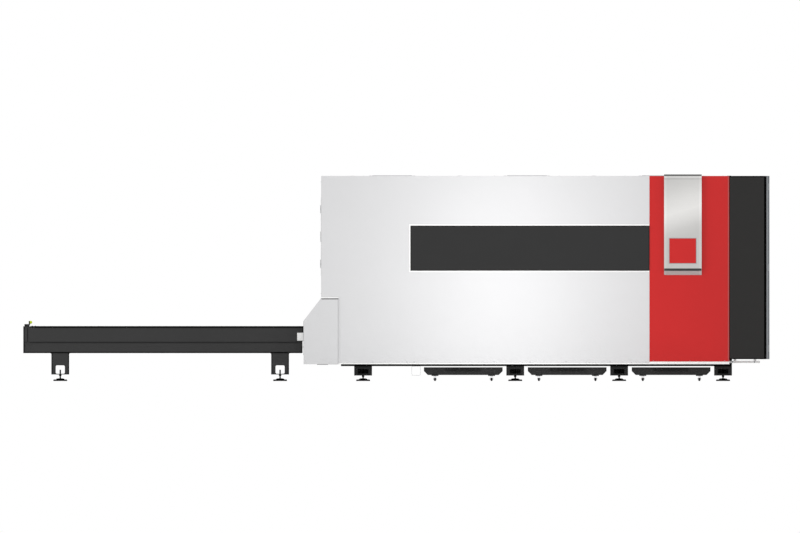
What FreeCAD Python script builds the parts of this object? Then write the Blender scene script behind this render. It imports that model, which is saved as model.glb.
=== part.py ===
import FreeCAD, Part
import math
import os

# Fiber laser cutting machine with a two-level pallet exchange station.
# Millimetres. +X runs from the exchange station to the operator's doors, +Z is up,
# and the near side of the machine faces -Y. The origin lies on the floor, at the
# centre of the whole machine. "u" is a distance from the machine's centre plane,
# used for pieces that the near (-Y) and far (+Y) sides share.

V = FreeCAD.Vector
X_AXIS = V(1, 0, 0)
Y_AXIS = V(0, 1, 0)
Z_AXIS = V(0, 0, 1)
NEAR = -1
FAR = 1
SIDES = (NEAR, FAR)

# ---------------------------------------------------------------- clearances
RUN_GAP = 0.3          # sliding and rolling faces that pass without touching
BEARING_GAP = 0.05     # radial running fit of a shaft or pin in its bore
PANEL_GAP = 3.0        # gap round a door or hatch

# ---------------------------------------------------------------- lengths along X
PALLET_LENGTH = 3050.0     # takes a 3 m sheet
STATION_END_ROOM = 129.0   # station end plate to the parked pallet
PALLET_OVERRUN = 107.0     # parked pallet beyond the station's channels
STATION_GAP = 11.0         # station to tunnel hood
HOOD_DEPTH = 193.0
HOOD_LAP = 192.0
PARK_LENGTH = 1182.0       # end wall to the working pallet, where the gantry parks
FRONT_ROOM = 258.0         # working pallet to the end bay
RED_LENGTH = 878.0
BAY_LENGTH = 402.0
DOOR_GAP = 2.0
DOOR_THICK = 38.0

STATION_LENGTH = STATION_END_ROOM + PALLET_LENGTH - PALLET_OVERRUN
BODY_LENGTH = PARK_LENGTH + PALLET_LENGTH + FRONT_ROOM
OVERALL_LENGTH = (STATION_LENGTH + STATION_GAP + HOOD_DEPTH + BODY_LENGTH
                  + BAY_LENGTH + DOOR_GAP + DOOR_THICK)

X_STATION = -OVERALL_LENGTH / 2
X_STATION_END = X_STATION + STATION_LENGTH
X_HOOD = X_STATION_END + STATION_GAP
X_WALL = X_HOOD + HOOD_DEPTH
X_BAY = X_WALL + BODY_LENGTH
X_RED = X_BAY - RED_LENGTH
X_BAY_END = X_BAY + BAY_LENGTH
X_DOOR = X_BAY_END + DOOR_GAP
X_END = X_DOOR + DOOR_THICK
UPPER_PALLET_X = X_STATION + STATION_END_ROOM
LOWER_PALLET_X = X_WALL + PARK_LENGTH

# ---------------------------------------------------------------- heights
FOOT_BOX_Z = 60.0          # underside of the machine's foot boxes
BED_BASE_Z = 165.0         # underside of the base rails
BASE_RAIL = 17.0
SIDE_BEAM_HEIGHT = 518.0
SILL_HEIGHT = 16.0
PANEL_HEIGHT = 2058.0
BAY_BOTTOM_Z = 240.0
BED_Z = BED_BASE_Z + BASE_RAIL
BEAM_TOP_Z = BED_Z + SIDE_BEAM_HEIGHT
SILL_TOP_Z = BED_Z + SILL_HEIGHT
PANEL_TOP_Z = SILL_TOP_Z + PANEL_HEIGHT

# ---------------------------------------------------------------- pallets
SLAT_LENGTH = 1541.0
SLAT_THICK = 4.0
SLAT_HEIGHT = 90.0
SLAT_PITCH = 75.0
SLAT_TEETH = 30
SLAT_TOOTH_DEPTH = 26.0
COMB_THICK = 5.0           # strip that closes the slats' ends
COMB_BELOW_TIP = 2.3
COMB_NOTCH = (8.0, 6.0)    # length and depth
SLAT_CLEAR = 0.5
PALLET_TUBE = 60.0
PALLET_TUBE_WALL = 4.0
LEDGER_WIDTH = 30.0
LEDGER_HEIGHT = 15.0
BRACKET_THICK = 12.0
WHEEL_R = 30.0
WHEEL_WIDTH = 28.0
WHEEL_SIDE_GAP = 9.0       # bracket to wheel
WHEEL_INSET = 120.0        # wheel centre from the pallet's end
PIN_R = 10.0
TUBE_ABOVE_WHEEL = 35.0    # wheel centre to the tubes' underside
PALLET_CLEARANCE = 11.0    # between the two pallets as they pass
DOG_FROM_END = 30.0
DOG_ABOVE_WHEEL = 22.0

SLAT_HALF = SLAT_LENGTH / 2
TUBE_IN = SLAT_HALF + SLAT_CLEAR
TUBE_OUT = TUBE_IN + PALLET_TUBE
BRACKET_OUT = TUBE_OUT + BRACKET_THICK
WHEEL_IN = BRACKET_OUT + WHEEL_SIDE_GAP
WHEEL_OUT = WHEEL_IN + WHEEL_WIDTH
LEVEL_STEP = LEDGER_HEIGHT + SLAT_HEIGHT + PALLET_CLEARANCE

# ---------------------------------------------------------------- channels and tracks
CHANNEL_Z = 307.0          # underside of the lower flange
CHANNEL_HEIGHT = 279.0
FLANGE = 12.0
FLANGE_LIP = 4.0           # flange edge inside the wheel
TOP_FLANGE_WIDTH = 35.0
WEB_ROOM = 40.0            # wheel to web, where the chain runs
UPPER_WEB = 10.0
LOWER_WEB = 6.0

FLANGE_IN = WHEEL_IN - FLANGE_LIP
WEB_IN = WHEEL_OUT + WEB_ROOM
WEB_OUT = WEB_IN + UPPER_WEB
MID_FLANGE_TOP = CHANNEL_Z + FLANGE + LEVEL_STEP
WEB_SPLIT_Z = MID_FLANGE_TOP - FLANGE / 2
LOWER_WHEEL_Z = CHANNEL_Z + FLANGE + WHEEL_R + RUN_GAP
UPPER_WHEEL_Z = LOWER_WHEEL_Z + LEVEL_STEP
CHANNEL_TOP = CHANNEL_Z + CHANNEL_HEIGHT
TRACK_START_X = X_HOOD + 9.0
TRACK_END_X = LOWER_PALLET_X + PALLET_LENGTH + 16.0

# ---------------------------------------------------------------- exchange drive
SHAFT_R = 18.0
STOP_UNDER_SHAFT = 2.7     # lower pallet stops to the exchange shaft
SHAFT_FROM_END = 74.0      # station end plate to the drive shaft
SPROCKET_R = 51.5
SPROCKET_WIDTH = 16.0
CHAIN_SLACK = 0.5          # sprocket rim to chain
CHAIN_THICK = 6.0
CHAIN_WIDTH = 12.0
CHAIN_IN = WHEEL_OUT + 10.0
SHOE_PAST_PALLET = 121.0   # chain's return shoe, from the working pallet's end
BOSS_R = 35.0
BOSS_DEPTH = 14.0
CHAIN_Z = WEB_SPLIT_Z
CHAIN_R = SPROCKET_R + CHAIN_SLACK + CHAIN_THICK
SHAFT_X = X_STATION + SHAFT_FROM_END
SHOE_X = LOWER_PALLET_X + SHOE_PAST_PALLET

# ---------------------------------------------------------------- station
END_PLATE = 10.0
STATION_TOP = 602.0        # top of the end blocks
END_BLOCK_LENGTH = 82.0
LEG_WIDTH = 196.0
LEG_DEPTH = 120.0
LEG_WALL = 6.0
LEG_BOTTOM = 71.5
LEG_FROM_END = (407.0, 2825.0)
LEG_WINDOW = (100.0, 80.0, 172.0, 15.0)    # width, bottom, top, corner radius
LEG_FILLET = 15.0
CROSS_TUBE = 80.0

# ---------------------------------------------------------------- bed
SIDE_BEAM_WIDTH = 155.0
SIDE_BEAM_WALL = 12.0
BASE_RAIL_IN = 25.0        # base rail inside the side beam
BASE_RAIL_OUT = 65.0       # base rail outside the side beam
BED_START = 219.0          # end wall to the bed
BED_PAST_BAY = 29.0
END_BEAM = (50.0, 458.0)   # width, height
CROSS_BEAM = (80.0, 60.0)  # width, height
CROSS_BEAM_WALL = 6.0
FOOT_BOX = 196.0
FOOT_WALL = 10.0
FOOT_WINDOW = (114.0, 21.0, 70.0)          # width, bottom and top above the box's underside
FIRST_FOOT = 462.0         # end wall to the first foot
BEAM_IN = WEB_OUT
BEAM_OUT = BEAM_IN + SIDE_BEAM_WIDTH
BED_X0 = X_WALL + BED_START
BED_X1 = X_BAY + BED_PAST_BAY

# ---------------------------------------------------------------- levelling feet
PAD_R = 77.5
PAD_RIM = 3.0
PAD_EDGE = 17.0
PAD_TOP = 30.0
PAD_SOCKET = 14.0
SCREW_R = 8.0
SCREW_TOP = 124.0
NUT_FLATS = 24.0
NUT_HEIGHT = 16.0
SCREW_HOLE_R = 8.5

# ---------------------------------------------------------------- scrap trays
TRAY_COUNT = 3
TRAY_GAP = 277.0           # between trays, where the feet stand
TRAY_OVERHANG = 51.0       # trays beyond the working pallet at each end
TRAY_TOP = 151.0
TRAY_BOTTOM = 66.0
TRAY_CHAMFER = 43.0
TRAY_SHEET = 4.0
TRAY_LENGTH = 2070.0
TRAY_SETBACK = 30.0        # tray front behind the base rail's edge
HANDLE_LENGTH = 374.0
HANDLE_R = 7.0
HANDLE_LEG_R = 6.0
HANDLE_LEG_INSET = 12.0
HANDLE_REACH = 25.0
HANDLE_Z = 126.0
CASTER_X = 311.0
CASTER_INSET = 80.0
CASTER_R = 25.0
CASTER_WIDTH = 21.0
CASTER_PLATE = (77.0, 60.0, 11.0)
FORK_GAP = 2.0
FORK_SHEET = 4.0
FORK_WIDTH = 26.0
AXLE_R = 5.0
TRAY_WIDTH = (PALLET_LENGTH + 2 * TRAY_OVERHANG - (TRAY_COUNT - 1) * TRAY_GAP) / TRAY_COUNT
TRAY_PITCH = TRAY_WIDTH + TRAY_GAP
TRAY_X = [LOWER_PALLET_X - TRAY_OVERHANG + TRAY_WIDTH / 2 + i * TRAY_PITCH
          for i in range(TRAY_COUNT)]
FOOT_X = [X_WALL + FIRST_FOOT] + [x + TRAY_PITCH / 2 for x in TRAY_X]
TRAY_FRONT = BEAM_OUT + BASE_RAIL_OUT - TRAY_SETBACK

# ---------------------------------------------------------------- gears
PRESSURE_ANGLE = math.radians(20.0)
ADDENDUM = 0.9
DEDENDUM = 1.2
BACKLASH = 0.4
GEAR_MODULE = 4.0
X_PINION_TEETH = 18
Y_PINION_TEETH = 16
X_PINION_R = X_PINION_TEETH * GEAR_MODULE / 2
Y_PINION_R = Y_PINION_TEETH * GEAR_MODULE / 2

# ---------------------------------------------------------------- gantry
NOZZLE_FROM_PALLET = 13.0  # nozzle inside the working pallet's end when parked
X_RAIL = 30.0
RAIL_FROM_BEAM = 70.0      # rail centre from the side beam's inner face
RACK_FROM_RAIL = 40.0      # rack's back from the rail centre
RACK_DEPTH = 21.0          # rack's back to its pitch line
RACK_HEIGHT = 25.0
X_RAIL_ENDS = (9.0, 191.0) # rail from the bed's two ends
PINION_WIDTH = 24.0
BEAM_SECTION = (260.0, 300.0)
BEAM_WALL = 10.0
BEAM_END_PLATE = 25.0
BLOCK_HEIGHT = 54.0
BLOCK_LENGTH = 100.0
BLOCK_X = 200.0
BLOCK_HALF_WIDTH = 35.0
BLOCK_LIFT = 8.0           # block's underside above the rail's foot
GANTRY_HALF_PLATE = 280.0
X_MOTOR_OFFSET = 230.0
GEARBOX = 90.0
GEARBOX_HEIGHT = 100.0
MOTOR = 80.0
MOTOR_HEIGHT = 180.0
X_SHAFT_R = 15.0
Y_SHAFT_R = 12.0
SHAFT_ROOM = 1.0           # drive shafts through plates
PANEL_ROOM = 18.0          # gearbox to the side panel

RAIL_U = BEAM_IN + RAIL_FROM_BEAM
RACK_U = RAIL_U + RACK_FROM_RAIL
RACK_PITCH_U = RACK_U + RACK_DEPTH
PINION_U = RACK_PITCH_U + X_PINION_R
GEARBOX_OUT = PINION_U + GEARBOX / 2
PANEL_IN = GEARBOX_OUT + PANEL_ROOM
BLOCK_TOP_Z = BEAM_TOP_Z + BLOCK_LIFT + BLOCK_HEIGHT
GANTRY_Z = BLOCK_TOP_Z + BEAM_END_PLATE

# ---------------------------------------------------------------- carriage and head
Y_RAIL = 20.0
Y_RAIL_Z = (60.0, 240.0)       # rail centres above the gantry beam's underside
Y_PINION_ROOM = 8.4            # upper rail to the pinion's tips
Y_RACK_DEPTH = 26.0
CARRIAGE_STANDOFF = 33.0       # beam face to carriage plate
CARRIAGE_PLATE = 20.0
CARRIAGE_Y = (-130.0, 250.0)
CARRIAGE_Z = (13.0, 293.0)
Y_PINION_Y = 185.0
Y_BLOCK_Y = (-90.0, 100.0)
Y_BLOCK = (60.0, 50.0)
Z_HOUSING = (80.0, 120.0, 73.0, 463.0)     # depth, width, bottom, top above the beam's underside
Z_MOTOR_HEIGHT = 150.0
Z_PLATE = (20.0, 100.0, -7.0, 363.0)
HEAD_BODY = (70.0, 64.0, 13.0, 253.0)
COLLIMATOR_R = 22.0
COLLIMATOR_TOP = 343.0
CONE_BOTTOM = -32.0
NOZZLE_LENGTH = 20.0

# rack's pitch line above the gantry beam's underside
Y_RACK_PITCH_Z = Y_RAIL_Z[1] - Y_RAIL / 2 - Y_PINION_ROOM - ADDENDUM * GEAR_MODULE - 2 * Y_PINION_R
PLATE_FROM_AXIS = BEAM_SECTION[0] / 2 + CARRIAGE_STANDOFF
HOUSING_FROM_AXIS = PLATE_FROM_AXIS + CARRIAGE_PLATE
SLIDE_FROM_AXIS = HOUSING_FROM_AXIS + Z_HOUSING[0]
HEAD_FROM_AXIS = SLIDE_FROM_AXIS + Z_PLATE[0]
NOZZLE_FROM_AXIS = HEAD_FROM_AXIS + HEAD_BODY[0] / 2
GANTRY_X = LOWER_PALLET_X + NOZZLE_FROM_PALLET - NOZZLE_FROM_AXIS
X_PINION_X = GANTRY_X - X_MOTOR_OFFSET

# ---------------------------------------------------------------- enclosure
PANEL_DEPTH = 40.0
SKIN = 3.0
LIP = 25.0                 # folded edge of a panel
HALF_WIDTH = PANEL_IN + PANEL_DEPTH
WINDOW_BEFORE_PALLET = 198.0
WINDOW_Z = (1214.0, 1708.0)
WINDOW_GLASS = 8.0
WINDOW_LAP = 40.0
RED_RISER = 16.0
BAND_WIDTH = 413.0
BAND_FROM_RED = 161.0
BAND_BOTTOM = 1166.0
BAND_LIP_TOP = 1210.0
BAND_GROOVE_TOP = 1240.0
BAND_GROOVE = 12.0
BAND_PROUD = 45.0
BAND_RISE = 17.0
BAND_BEND = 20.0
BAND_SHEET = 3.0
BAND_HOOK = 70.0
BADGE_SIZE = (292.0, 272.0)
BADGE_THICK = 4.0
BADGE_CENTRE = (205.0, 1432.0)     # from the band's edge, and above the floor
TUNNEL_U = 5.0             # tunnel opening outside the channels
TUNNEL_Z = (290.0, 860.0)
HOOD_SHEET = 15.0
HOOD_PLATE = 4.0
HOOD_BOTTOM = 185.0
HOOD_FACE_TOP = 663.0
HOOD_TOP = 913.0
HOOD_MOUTH = (295.0, 645.0)
HATCH_Z = (1140.0, 2040.0)
HATCH_HALF = 350.0
HATCH_THICK = 20.0
HATCH_HANDLE_Z = (1531.0, 1644.0)
HATCH_HANDLE = 8.0
HATCH_KNUCKLE_R = 5.0
HATCH_PIN_R = 3.0
LIFT_DOOR_Z = (618.0, 900.0)
LIFT_DOOR_THICK = 20.0
ROOF_COUNT = 3
COLLAR_R = 150.0
COLLAR_WALL = 5.0
COLLAR_FROM_WALL = 1700.0
COLLAR_Z = 1750.0
CABLE_BORE_R = 35.0
CABLE_BOSS_R = 45.0
CABLE_BOSS = 15.0
CABLE_Z = 420.0
DOOR_HINGE_Z = (120.0, 1008.0, 1896.0)     # above the door's foot
DOOR_HINGE_HALF = 40.0
HINGE_AXIS_X = 10.0        # hinge axis behind the door's face
HINGE_AXIS_U = 10.0        # hinge axis inside the door's edge
HINGE_R = 9.0
HINGE_PIN_R = 5.0
HINGE_PIN_REACH = 25.0
DOOR_WINDOW_U = (330.0, 900.0)
DOOR_WINDOW_Z = (1100.0, 1800.0)
DOOR_GLASS = 4.0
DOOR_GLASS_LAP = 15.0
PULL_U = (60.0, 110.0)
PULL_Z = (1080.0, 1280.0)
PULL_DEPTH = 22.0
BAND_X = X_RED + BAND_FROM_RED
HINGE_U = HALF_WIDTH - HINGE_AXIS_U
HINGE_X = X_END - HINGE_AXIS_X

# ---------------------------------------------------------------- end bay contents
BAY_ARM = 24.0
BAY_ARM_TOP = 222.0
CABINET_GAP = 19.0         # cabinets to the bay's end
CABINET_SETBACK = 43.0     # cabinets from the bay's start
CABINET_SIDE = 10.0
CABINET_WIDTH = 445.0
ELECTRICAL_TOP = 2100.0
LASER_TOP = 1500.0


# ================================================================ shapes
def block(x0, x1, y0, y1, z0, z1):
    """A box between two corners."""
    return Part.makeBox(x1 - x0, y1 - y0, z1 - z0, V(x0, y0, z0))


def side_block(side, x0, x1, u0, u1, z0, z1):
    """A box on one side of the centre plane, from u0 to u1 away from it."""
    y0, y1 = sorted((side * u0, side * u1))
    return block(x0, x1, y0, y1, z0, z1)


def rod(start, axis, radius, length):
    return Part.makeCylinder(radius, length, start, axis)


def side_rod(side, x, z, radius, u0, u1):
    """A round bar across the machine, from u0 to u1 on one side."""
    return rod(V(x, side * u0, z), Y_AXIS * side, radius, u1 - u0)


def prism(points, travel):
    """A straight extrusion of a closed outline."""
    return Part.Face(Part.makePolygon(points + points[:1])).extrude(travel)


def prism_x(outline, x0, x1):
    """Extrudes (y, z) points along X."""
    return prism([V(x0, y, z) for y, z in outline], X_AXIS * (x1 - x0))


def prism_y(outline, y0, y1):
    """Extrudes (x, z) points along Y."""
    return prism([V(x, y0, z) for x, z in outline], Y_AXIS * (y1 - y0))


def prism_z(outline, z0, z1):
    """Extrudes (x, y) points along Z."""
    return prism([V(x, y, z0) for x, y in outline], Z_AXIS * (z1 - z0))


def turned(centre, axis, profile):
    """Revolves (radius, distance along the axis) points about an axis."""
    across = X_AXIS if abs(axis.z) > 0 else Z_AXIS
    points = [centre + across * r + axis * s for r, s in profile]
    return Part.Face(Part.makePolygon(points + points[:1])).revolve(centre, axis, 360)


def fused(shapes):
    """One welded piece, with the seams between its parts removed."""
    joined = shapes[0].fuse(shapes[1:]).removeSplitter()
    return joined.Solids[0]


def tube_x(x0, x1, y0, y1, z0, z1, wall):
    """A rectangular tube along X, open at both ends."""
    return block(x0, x1, y0, y1, z0, z1).cut(
        block(x0, x1, y0 + wall, y1 - wall, z0 + wall, z1 - wall))


def tube_y(x0, x1, y0, y1, z0, z1, wall):
    """A rectangular tube along Y, open at both ends."""
    return block(x0, x1, y0, y1, z0, z1).cut(
        block(x0 + wall, x1 - wall, y0, y1, z0 + wall, z1 - wall))


def pan(low, high, axis, opens, skin=SKIN, lip=LIP):
    """A folded sheet panel: a skin with edges that turn back and in again.

    axis is the thin direction (0, 1 or 2), and opens is +1 or -1 for the open side.
    """
    hollow_low = [v + skin for v in low]
    hollow_high = [v - skin for v in high]
    mouth_low = [v + lip for v in low]
    mouth_high = [v - lip for v in high]
    if opens > 0:
        mouth_low[axis] = hollow_high[axis]
        mouth_high[axis] = high[axis]
    else:
        mouth_low[axis] = low[axis]
        mouth_high[axis] = hollow_low[axis]
    solid = box_between(low, high)
    solid = solid.cut(box_between(hollow_low, hollow_high))
    return solid.cut(box_between(mouth_low, mouth_high))


def box_between(low, high):
    return block(low[0], high[0], low[1], high[1], low[2], high[2])


def side_pan(side, x0, x1, z0, z1):
    """A wall panel of the enclosure, open towards the inside."""
    y0, y1 = sorted((side * PANEL_IN, side * HALF_WIDTH))
    return pan([x0, y0, z0], [x1, y1, z1], 1, -side)


def rounded_box_y(x0, x1, y0, y1, z0, z1, radius):
    """A box whose four edges along Y are rounded."""
    solid = block(x0, x1, y0, y1, z0, z1)
    edges = [e for e in solid.Edges if abs(e.tangentAt(e.FirstParameter).y) > 0.99]
    return solid.makeFillet(radius, edges)


def rack_outline(start, end, back, pitch_line, tooth_at):
    """Points (along, height) of a straight rack with a tooth centred at tooth_at."""
    pitch = math.pi * GEAR_MODULE
    slope = math.tan(PRESSURE_ANGLE)
    half = pitch / 4 - BACKLASH / 4
    top = ADDENDUM * GEAR_MODULE
    root = DEDENDUM * GEAR_MODULE
    first = math.ceil((start - tooth_at) / pitch + 0.5)
    last = math.floor((end - tooth_at) / pitch - 0.5)
    outline = [(start, back), (start, pitch_line - root)]
    for tooth in range(first, last + 1):
        middle = tooth_at + tooth * pitch
        wide = half + root * slope
        narrow = half - top * slope
        outline.append((middle - wide, pitch_line - root))
        outline.append((middle - narrow, pitch_line + top))
        outline.append((middle + narrow, pitch_line + top))
        outline.append((middle + wide, pitch_line - root))
    outline.append((end, pitch_line - root))
    outline.append((end, back))
    return outline


def pinion_outline(teeth, space_at, flank_steps=6):
    """Points of a spur pinion about its own centre, with a tooth space centred at an angle."""
    pitch_r = teeth * GEAR_MODULE / 2
    base_r = pitch_r * math.cos(PRESSURE_ANGLE)
    tip_r = pitch_r + ADDENDUM * GEAR_MODULE
    root_r = pitch_r - DEDENDUM * GEAR_MODULE
    at_pitch = (math.pi * GEAR_MODULE / 2 - BACKLASH / 2) / (2 * pitch_r)
    at_base = at_pitch + math.tan(PRESSURE_ANGLE) - PRESSURE_ANGLE
    flank = [(root_r, at_base)]
    for step in range(flank_steps + 1):
        r = base_r + (tip_r - base_r) * step / flank_steps
        roll = math.acos(min(1.0, base_r / r))
        flank.append((r, at_base - (math.tan(roll) - roll)))
    outline = []
    for tooth in range(teeth):
        middle = space_at + (tooth + 0.5) * 2 * math.pi / teeth
        for r, half in flank:
            outline.append((r * math.cos(middle - half), r * math.sin(middle - half)))
        for r, half in reversed(flank):
            outline.append((r * math.cos(middle + half), r * math.sin(middle + half)))
    return outline


# ================================================================ bed
def bed_frame():
    """The welded bed: base rails, side beams, cross beams and foot boxes."""
    solids = []
    rail_in = BEAM_IN - BASE_RAIL_IN
    rail_out = BEAM_OUT + BASE_RAIL_OUT
    for side in SIDES:
        rail = side_block(side, BED_X0, BED_X1, rail_in, rail_out, BED_BASE_Z, BED_Z)
        solids.append(rail)
        y0, y1 = sorted((side * BEAM_IN, side * BEAM_OUT))
        solids.append(tube_x(BED_X0, BED_X1, y0, y1, BED_Z, BEAM_TOP_Z, SIDE_BEAM_WALL))
        for x in FOOT_X:
            solids.append(foot_box(x, side))
    width, height = CROSS_BEAM
    for x in FOOT_X:
        solids.append(tube_y(x - width / 2, x + width / 2, -BEAM_IN, BEAM_IN,
                             BED_Z, BED_Z + height, CROSS_BEAM_WALL))
    width, height = END_BEAM
    solids.append(tube_y(BED_X1 - width, BED_X1, -BEAM_IN, BEAM_IN,
                         BED_Z, BED_Z + height, CROSS_BEAM_WALL))
    return solids


def foot_box(x, side):
    """A welded box under the base rail that carries a levelling foot."""
    half = FOOT_BOX / 2
    inner = half - FOOT_WALL
    u0 = BEAM_IN
    u1 = u0 + FOOT_BOX
    box = side_block(side, x - half, x + half, u0, u1, FOOT_BOX_Z, BED_BASE_Z)
    box = box.cut(side_block(side, x - inner, x + inner, u0 + FOOT_WALL, u1 - FOOT_WALL,
                             FOOT_BOX_Z + FOOT_WALL, BED_BASE_Z))
    width, low, high = FOOT_WINDOW
    box = box.cut(side_block(side, x - width / 2, x + width / 2, u1 - FOOT_WALL, u1,
                             FOOT_BOX_Z + low, FOOT_BOX_Z + high))
    hole = rod(V(x, side * (u0 + half), FOOT_BOX_Z), Z_AXIS, SCREW_HOLE_R, FOOT_WALL)
    return box.cut(hole)


def levelling_feet():
    """Screws, lock nuts and floor pads under the machine and the station."""
    solids = []
    for side in SIDES:
        for x in FOOT_X:
            solids += levelling_foot(x, side * (BEAM_IN + FOOT_BOX / 2), FOOT_BOX_Z)
        for from_end in LEG_FROM_END:
            solids += levelling_foot(X_STATION + from_end, side * (WEB_OUT - LEG_DEPTH / 2), LEG_BOTTOM)
    return solids


def levelling_foot(x, y, underside):
    """One foot; underside is the lower face of the plate that its nut carries."""
    socket_r = SCREW_R + BEARING_GAP
    socket_z = PAD_TOP - PAD_SOCKET
    pad = turned(V(x, y, 0), Z_AXIS, [
        (0, 0), (PAD_R, 0), (PAD_R, PAD_RIM), (PAD_R - 5, PAD_EDGE),
        (PAD_R * 0.64, PAD_EDGE), (PAD_R * 0.50, PAD_TOP - 3),
        (SCREW_R + 9, PAD_TOP), (socket_r, PAD_TOP), (socket_r, socket_z), (0, socket_z)])
    screw = rod(V(x, y, socket_z), Z_AXIS, SCREW_R, SCREW_TOP - socket_z)
    corner_r = NUT_FLATS / math.sqrt(3)
    corners = [(x + corner_r * math.cos(math.radians(a)), y + corner_r * math.sin(math.radians(a)))
               for a in range(0, 360, 60)]
    nut = prism_z(corners, underside - NUT_HEIGHT, underside)
    nut = nut.cut(rod(V(x, y, 0), Z_AXIS, SCREW_R + BEARING_GAP, SCREW_TOP))
    return [pad, screw, nut]


def x_rails():
    """Linear guide rails on the side beams, with a ball groove in each flank."""
    solids = []
    half = X_RAIL / 2
    groove = half - 3
    section = [(-half, 0), (half, 0), (half, 12), (groove, 16), (groove, 21), (half, 24),
               (half, X_RAIL), (-half, X_RAIL), (-half, 24), (-groove, 21), (-groove, 16), (-half, 12)]
    for side in SIDES:
        outline = [(side * RAIL_U + y, BEAM_TOP_Z + z) for y, z in section]
        solids.append(prism_x(outline, BED_X0 + X_RAIL_ENDS[0], BED_X1 - X_RAIL_ENDS[1]))
    return solids


def x_racks():
    """Gear racks beside the rails, teeth outwards, in mesh with the pinions."""
    solids = []
    outline = rack_outline(BED_X0 + X_RAIL_ENDS[0], BED_X1 - X_RAIL_ENDS[1],
                           RACK_U, RACK_PITCH_U, X_PINION_X)
    for side in SIDES:
        points = [(x, side * u) for x, u in outline]
        solids.append(prism_z(points, BEAM_TOP_Z, BEAM_TOP_Z + RACK_HEIGHT))
    return solids


def track_outline(side):
    """Section of the two-level channel: a web and three flanges."""
    mid_low = MID_FLANGE_TOP - FLANGE
    lower_web_out = WEB_IN + LOWER_WEB
    section = [
        (FLANGE_IN, CHANNEL_Z), (lower_web_out, CHANNEL_Z), (lower_web_out, WEB_SPLIT_Z),
        (WEB_OUT, WEB_SPLIT_Z), (WEB_OUT, CHANNEL_TOP), (WEB_IN - TOP_FLANGE_WIDTH, CHANNEL_TOP),
        (WEB_IN - TOP_FLANGE_WIDTH, CHANNEL_TOP - FLANGE), (WEB_IN, CHANNEL_TOP - FLANGE),
        (WEB_IN, MID_FLANGE_TOP), (FLANGE_IN, MID_FLANGE_TOP), (FLANGE_IN, mid_low),
        (WEB_IN, mid_low), (WEB_IN, CHANNEL_Z + FLANGE), (FLANGE_IN, CHANNEL_Z + FLANGE)]
    return [(side * u, z) for u, z in section]


def pallet_tracks():
    """Tracks through the tunnel and the bed, each with a return shoe for the chain."""
    solids = []
    reach = CHAIN_R + 7
    for side in SIDES:
        track = prism_x(track_outline(side), TRACK_START_X, TRACK_END_X)
        track = track.cut(side_block(side, SHOE_X - reach - 5, SHOE_X + reach + 5, CHAIN_IN - 4, WEB_IN,
                                     MID_FLANGE_TOP - FLANGE, MID_FLANGE_TOP))
        shoe_boss = side_rod(side, SHOE_X, CHAIN_Z, BOSS_R, WEB_IN - BOSS_DEPTH - 2, WEB_IN)
        shoe = side_rod(side, SHOE_X, CHAIN_Z, SPROCKET_R, CHAIN_IN - 2, WEB_IN - BOSS_DEPTH - 2)
        solids.append(track)
        solids.append(fused([shoe_boss, shoe]))
    return solids


def scrap_chutes():
    """Sloping sheets that steer scrap past the feet and into the trays."""
    rise = CHANNEL_Z - BED_Z - 7
    run = TRAY_GAP / 2
    sheet = 3.0
    across = sheet * math.hypot(rise, run) / rise
    down = sheet * math.hypot(rise, run) / run
    reach = BEAM_IN - 5
    top = BED_Z + rise
    solids = []
    for i in range(TRAY_COUNT - 1):
        x = TRAY_X[i] + TRAY_PITCH / 2
        outline = [(x - run, BED_Z), (x, top), (x + run, BED_Z), (x + run - across, BED_Z),
                   (x, top - down), (x - run + across, BED_Z)]
        solids.append(prism_y(outline, -reach, reach))
    for x, way in ((TRAY_X[0] - TRAY_WIDTH / 2, -1), (TRAY_X[-1] + TRAY_WIDTH / 2, 1)):
        outline = [(x, BED_Z), (x + way * run, top), (x + way * run, top - down),
                   (x + way * across, BED_Z)]
        solids.append(prism_y(outline, -reach, reach))
    return solids


def lifting_tube():
    """A square tube across the bed that takes a fork or a lifting bar."""
    x = LOWER_PALLET_X - 137
    half = 50.0
    wall = 5.0
    reach = BEAM_OUT + BASE_RAIL_OUT
    outer = rounded_box_y(x - half, x + half, -reach, reach, FOOT_BOX_Z, BED_BASE_Z, 14)
    inner = rounded_box_y(x - half + wall, x + half - wall, -reach, reach,
                          FOOT_BOX_Z + wall, BED_BASE_Z - wall, 14 - wall)
    return [outer.cut(inner)]


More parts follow.
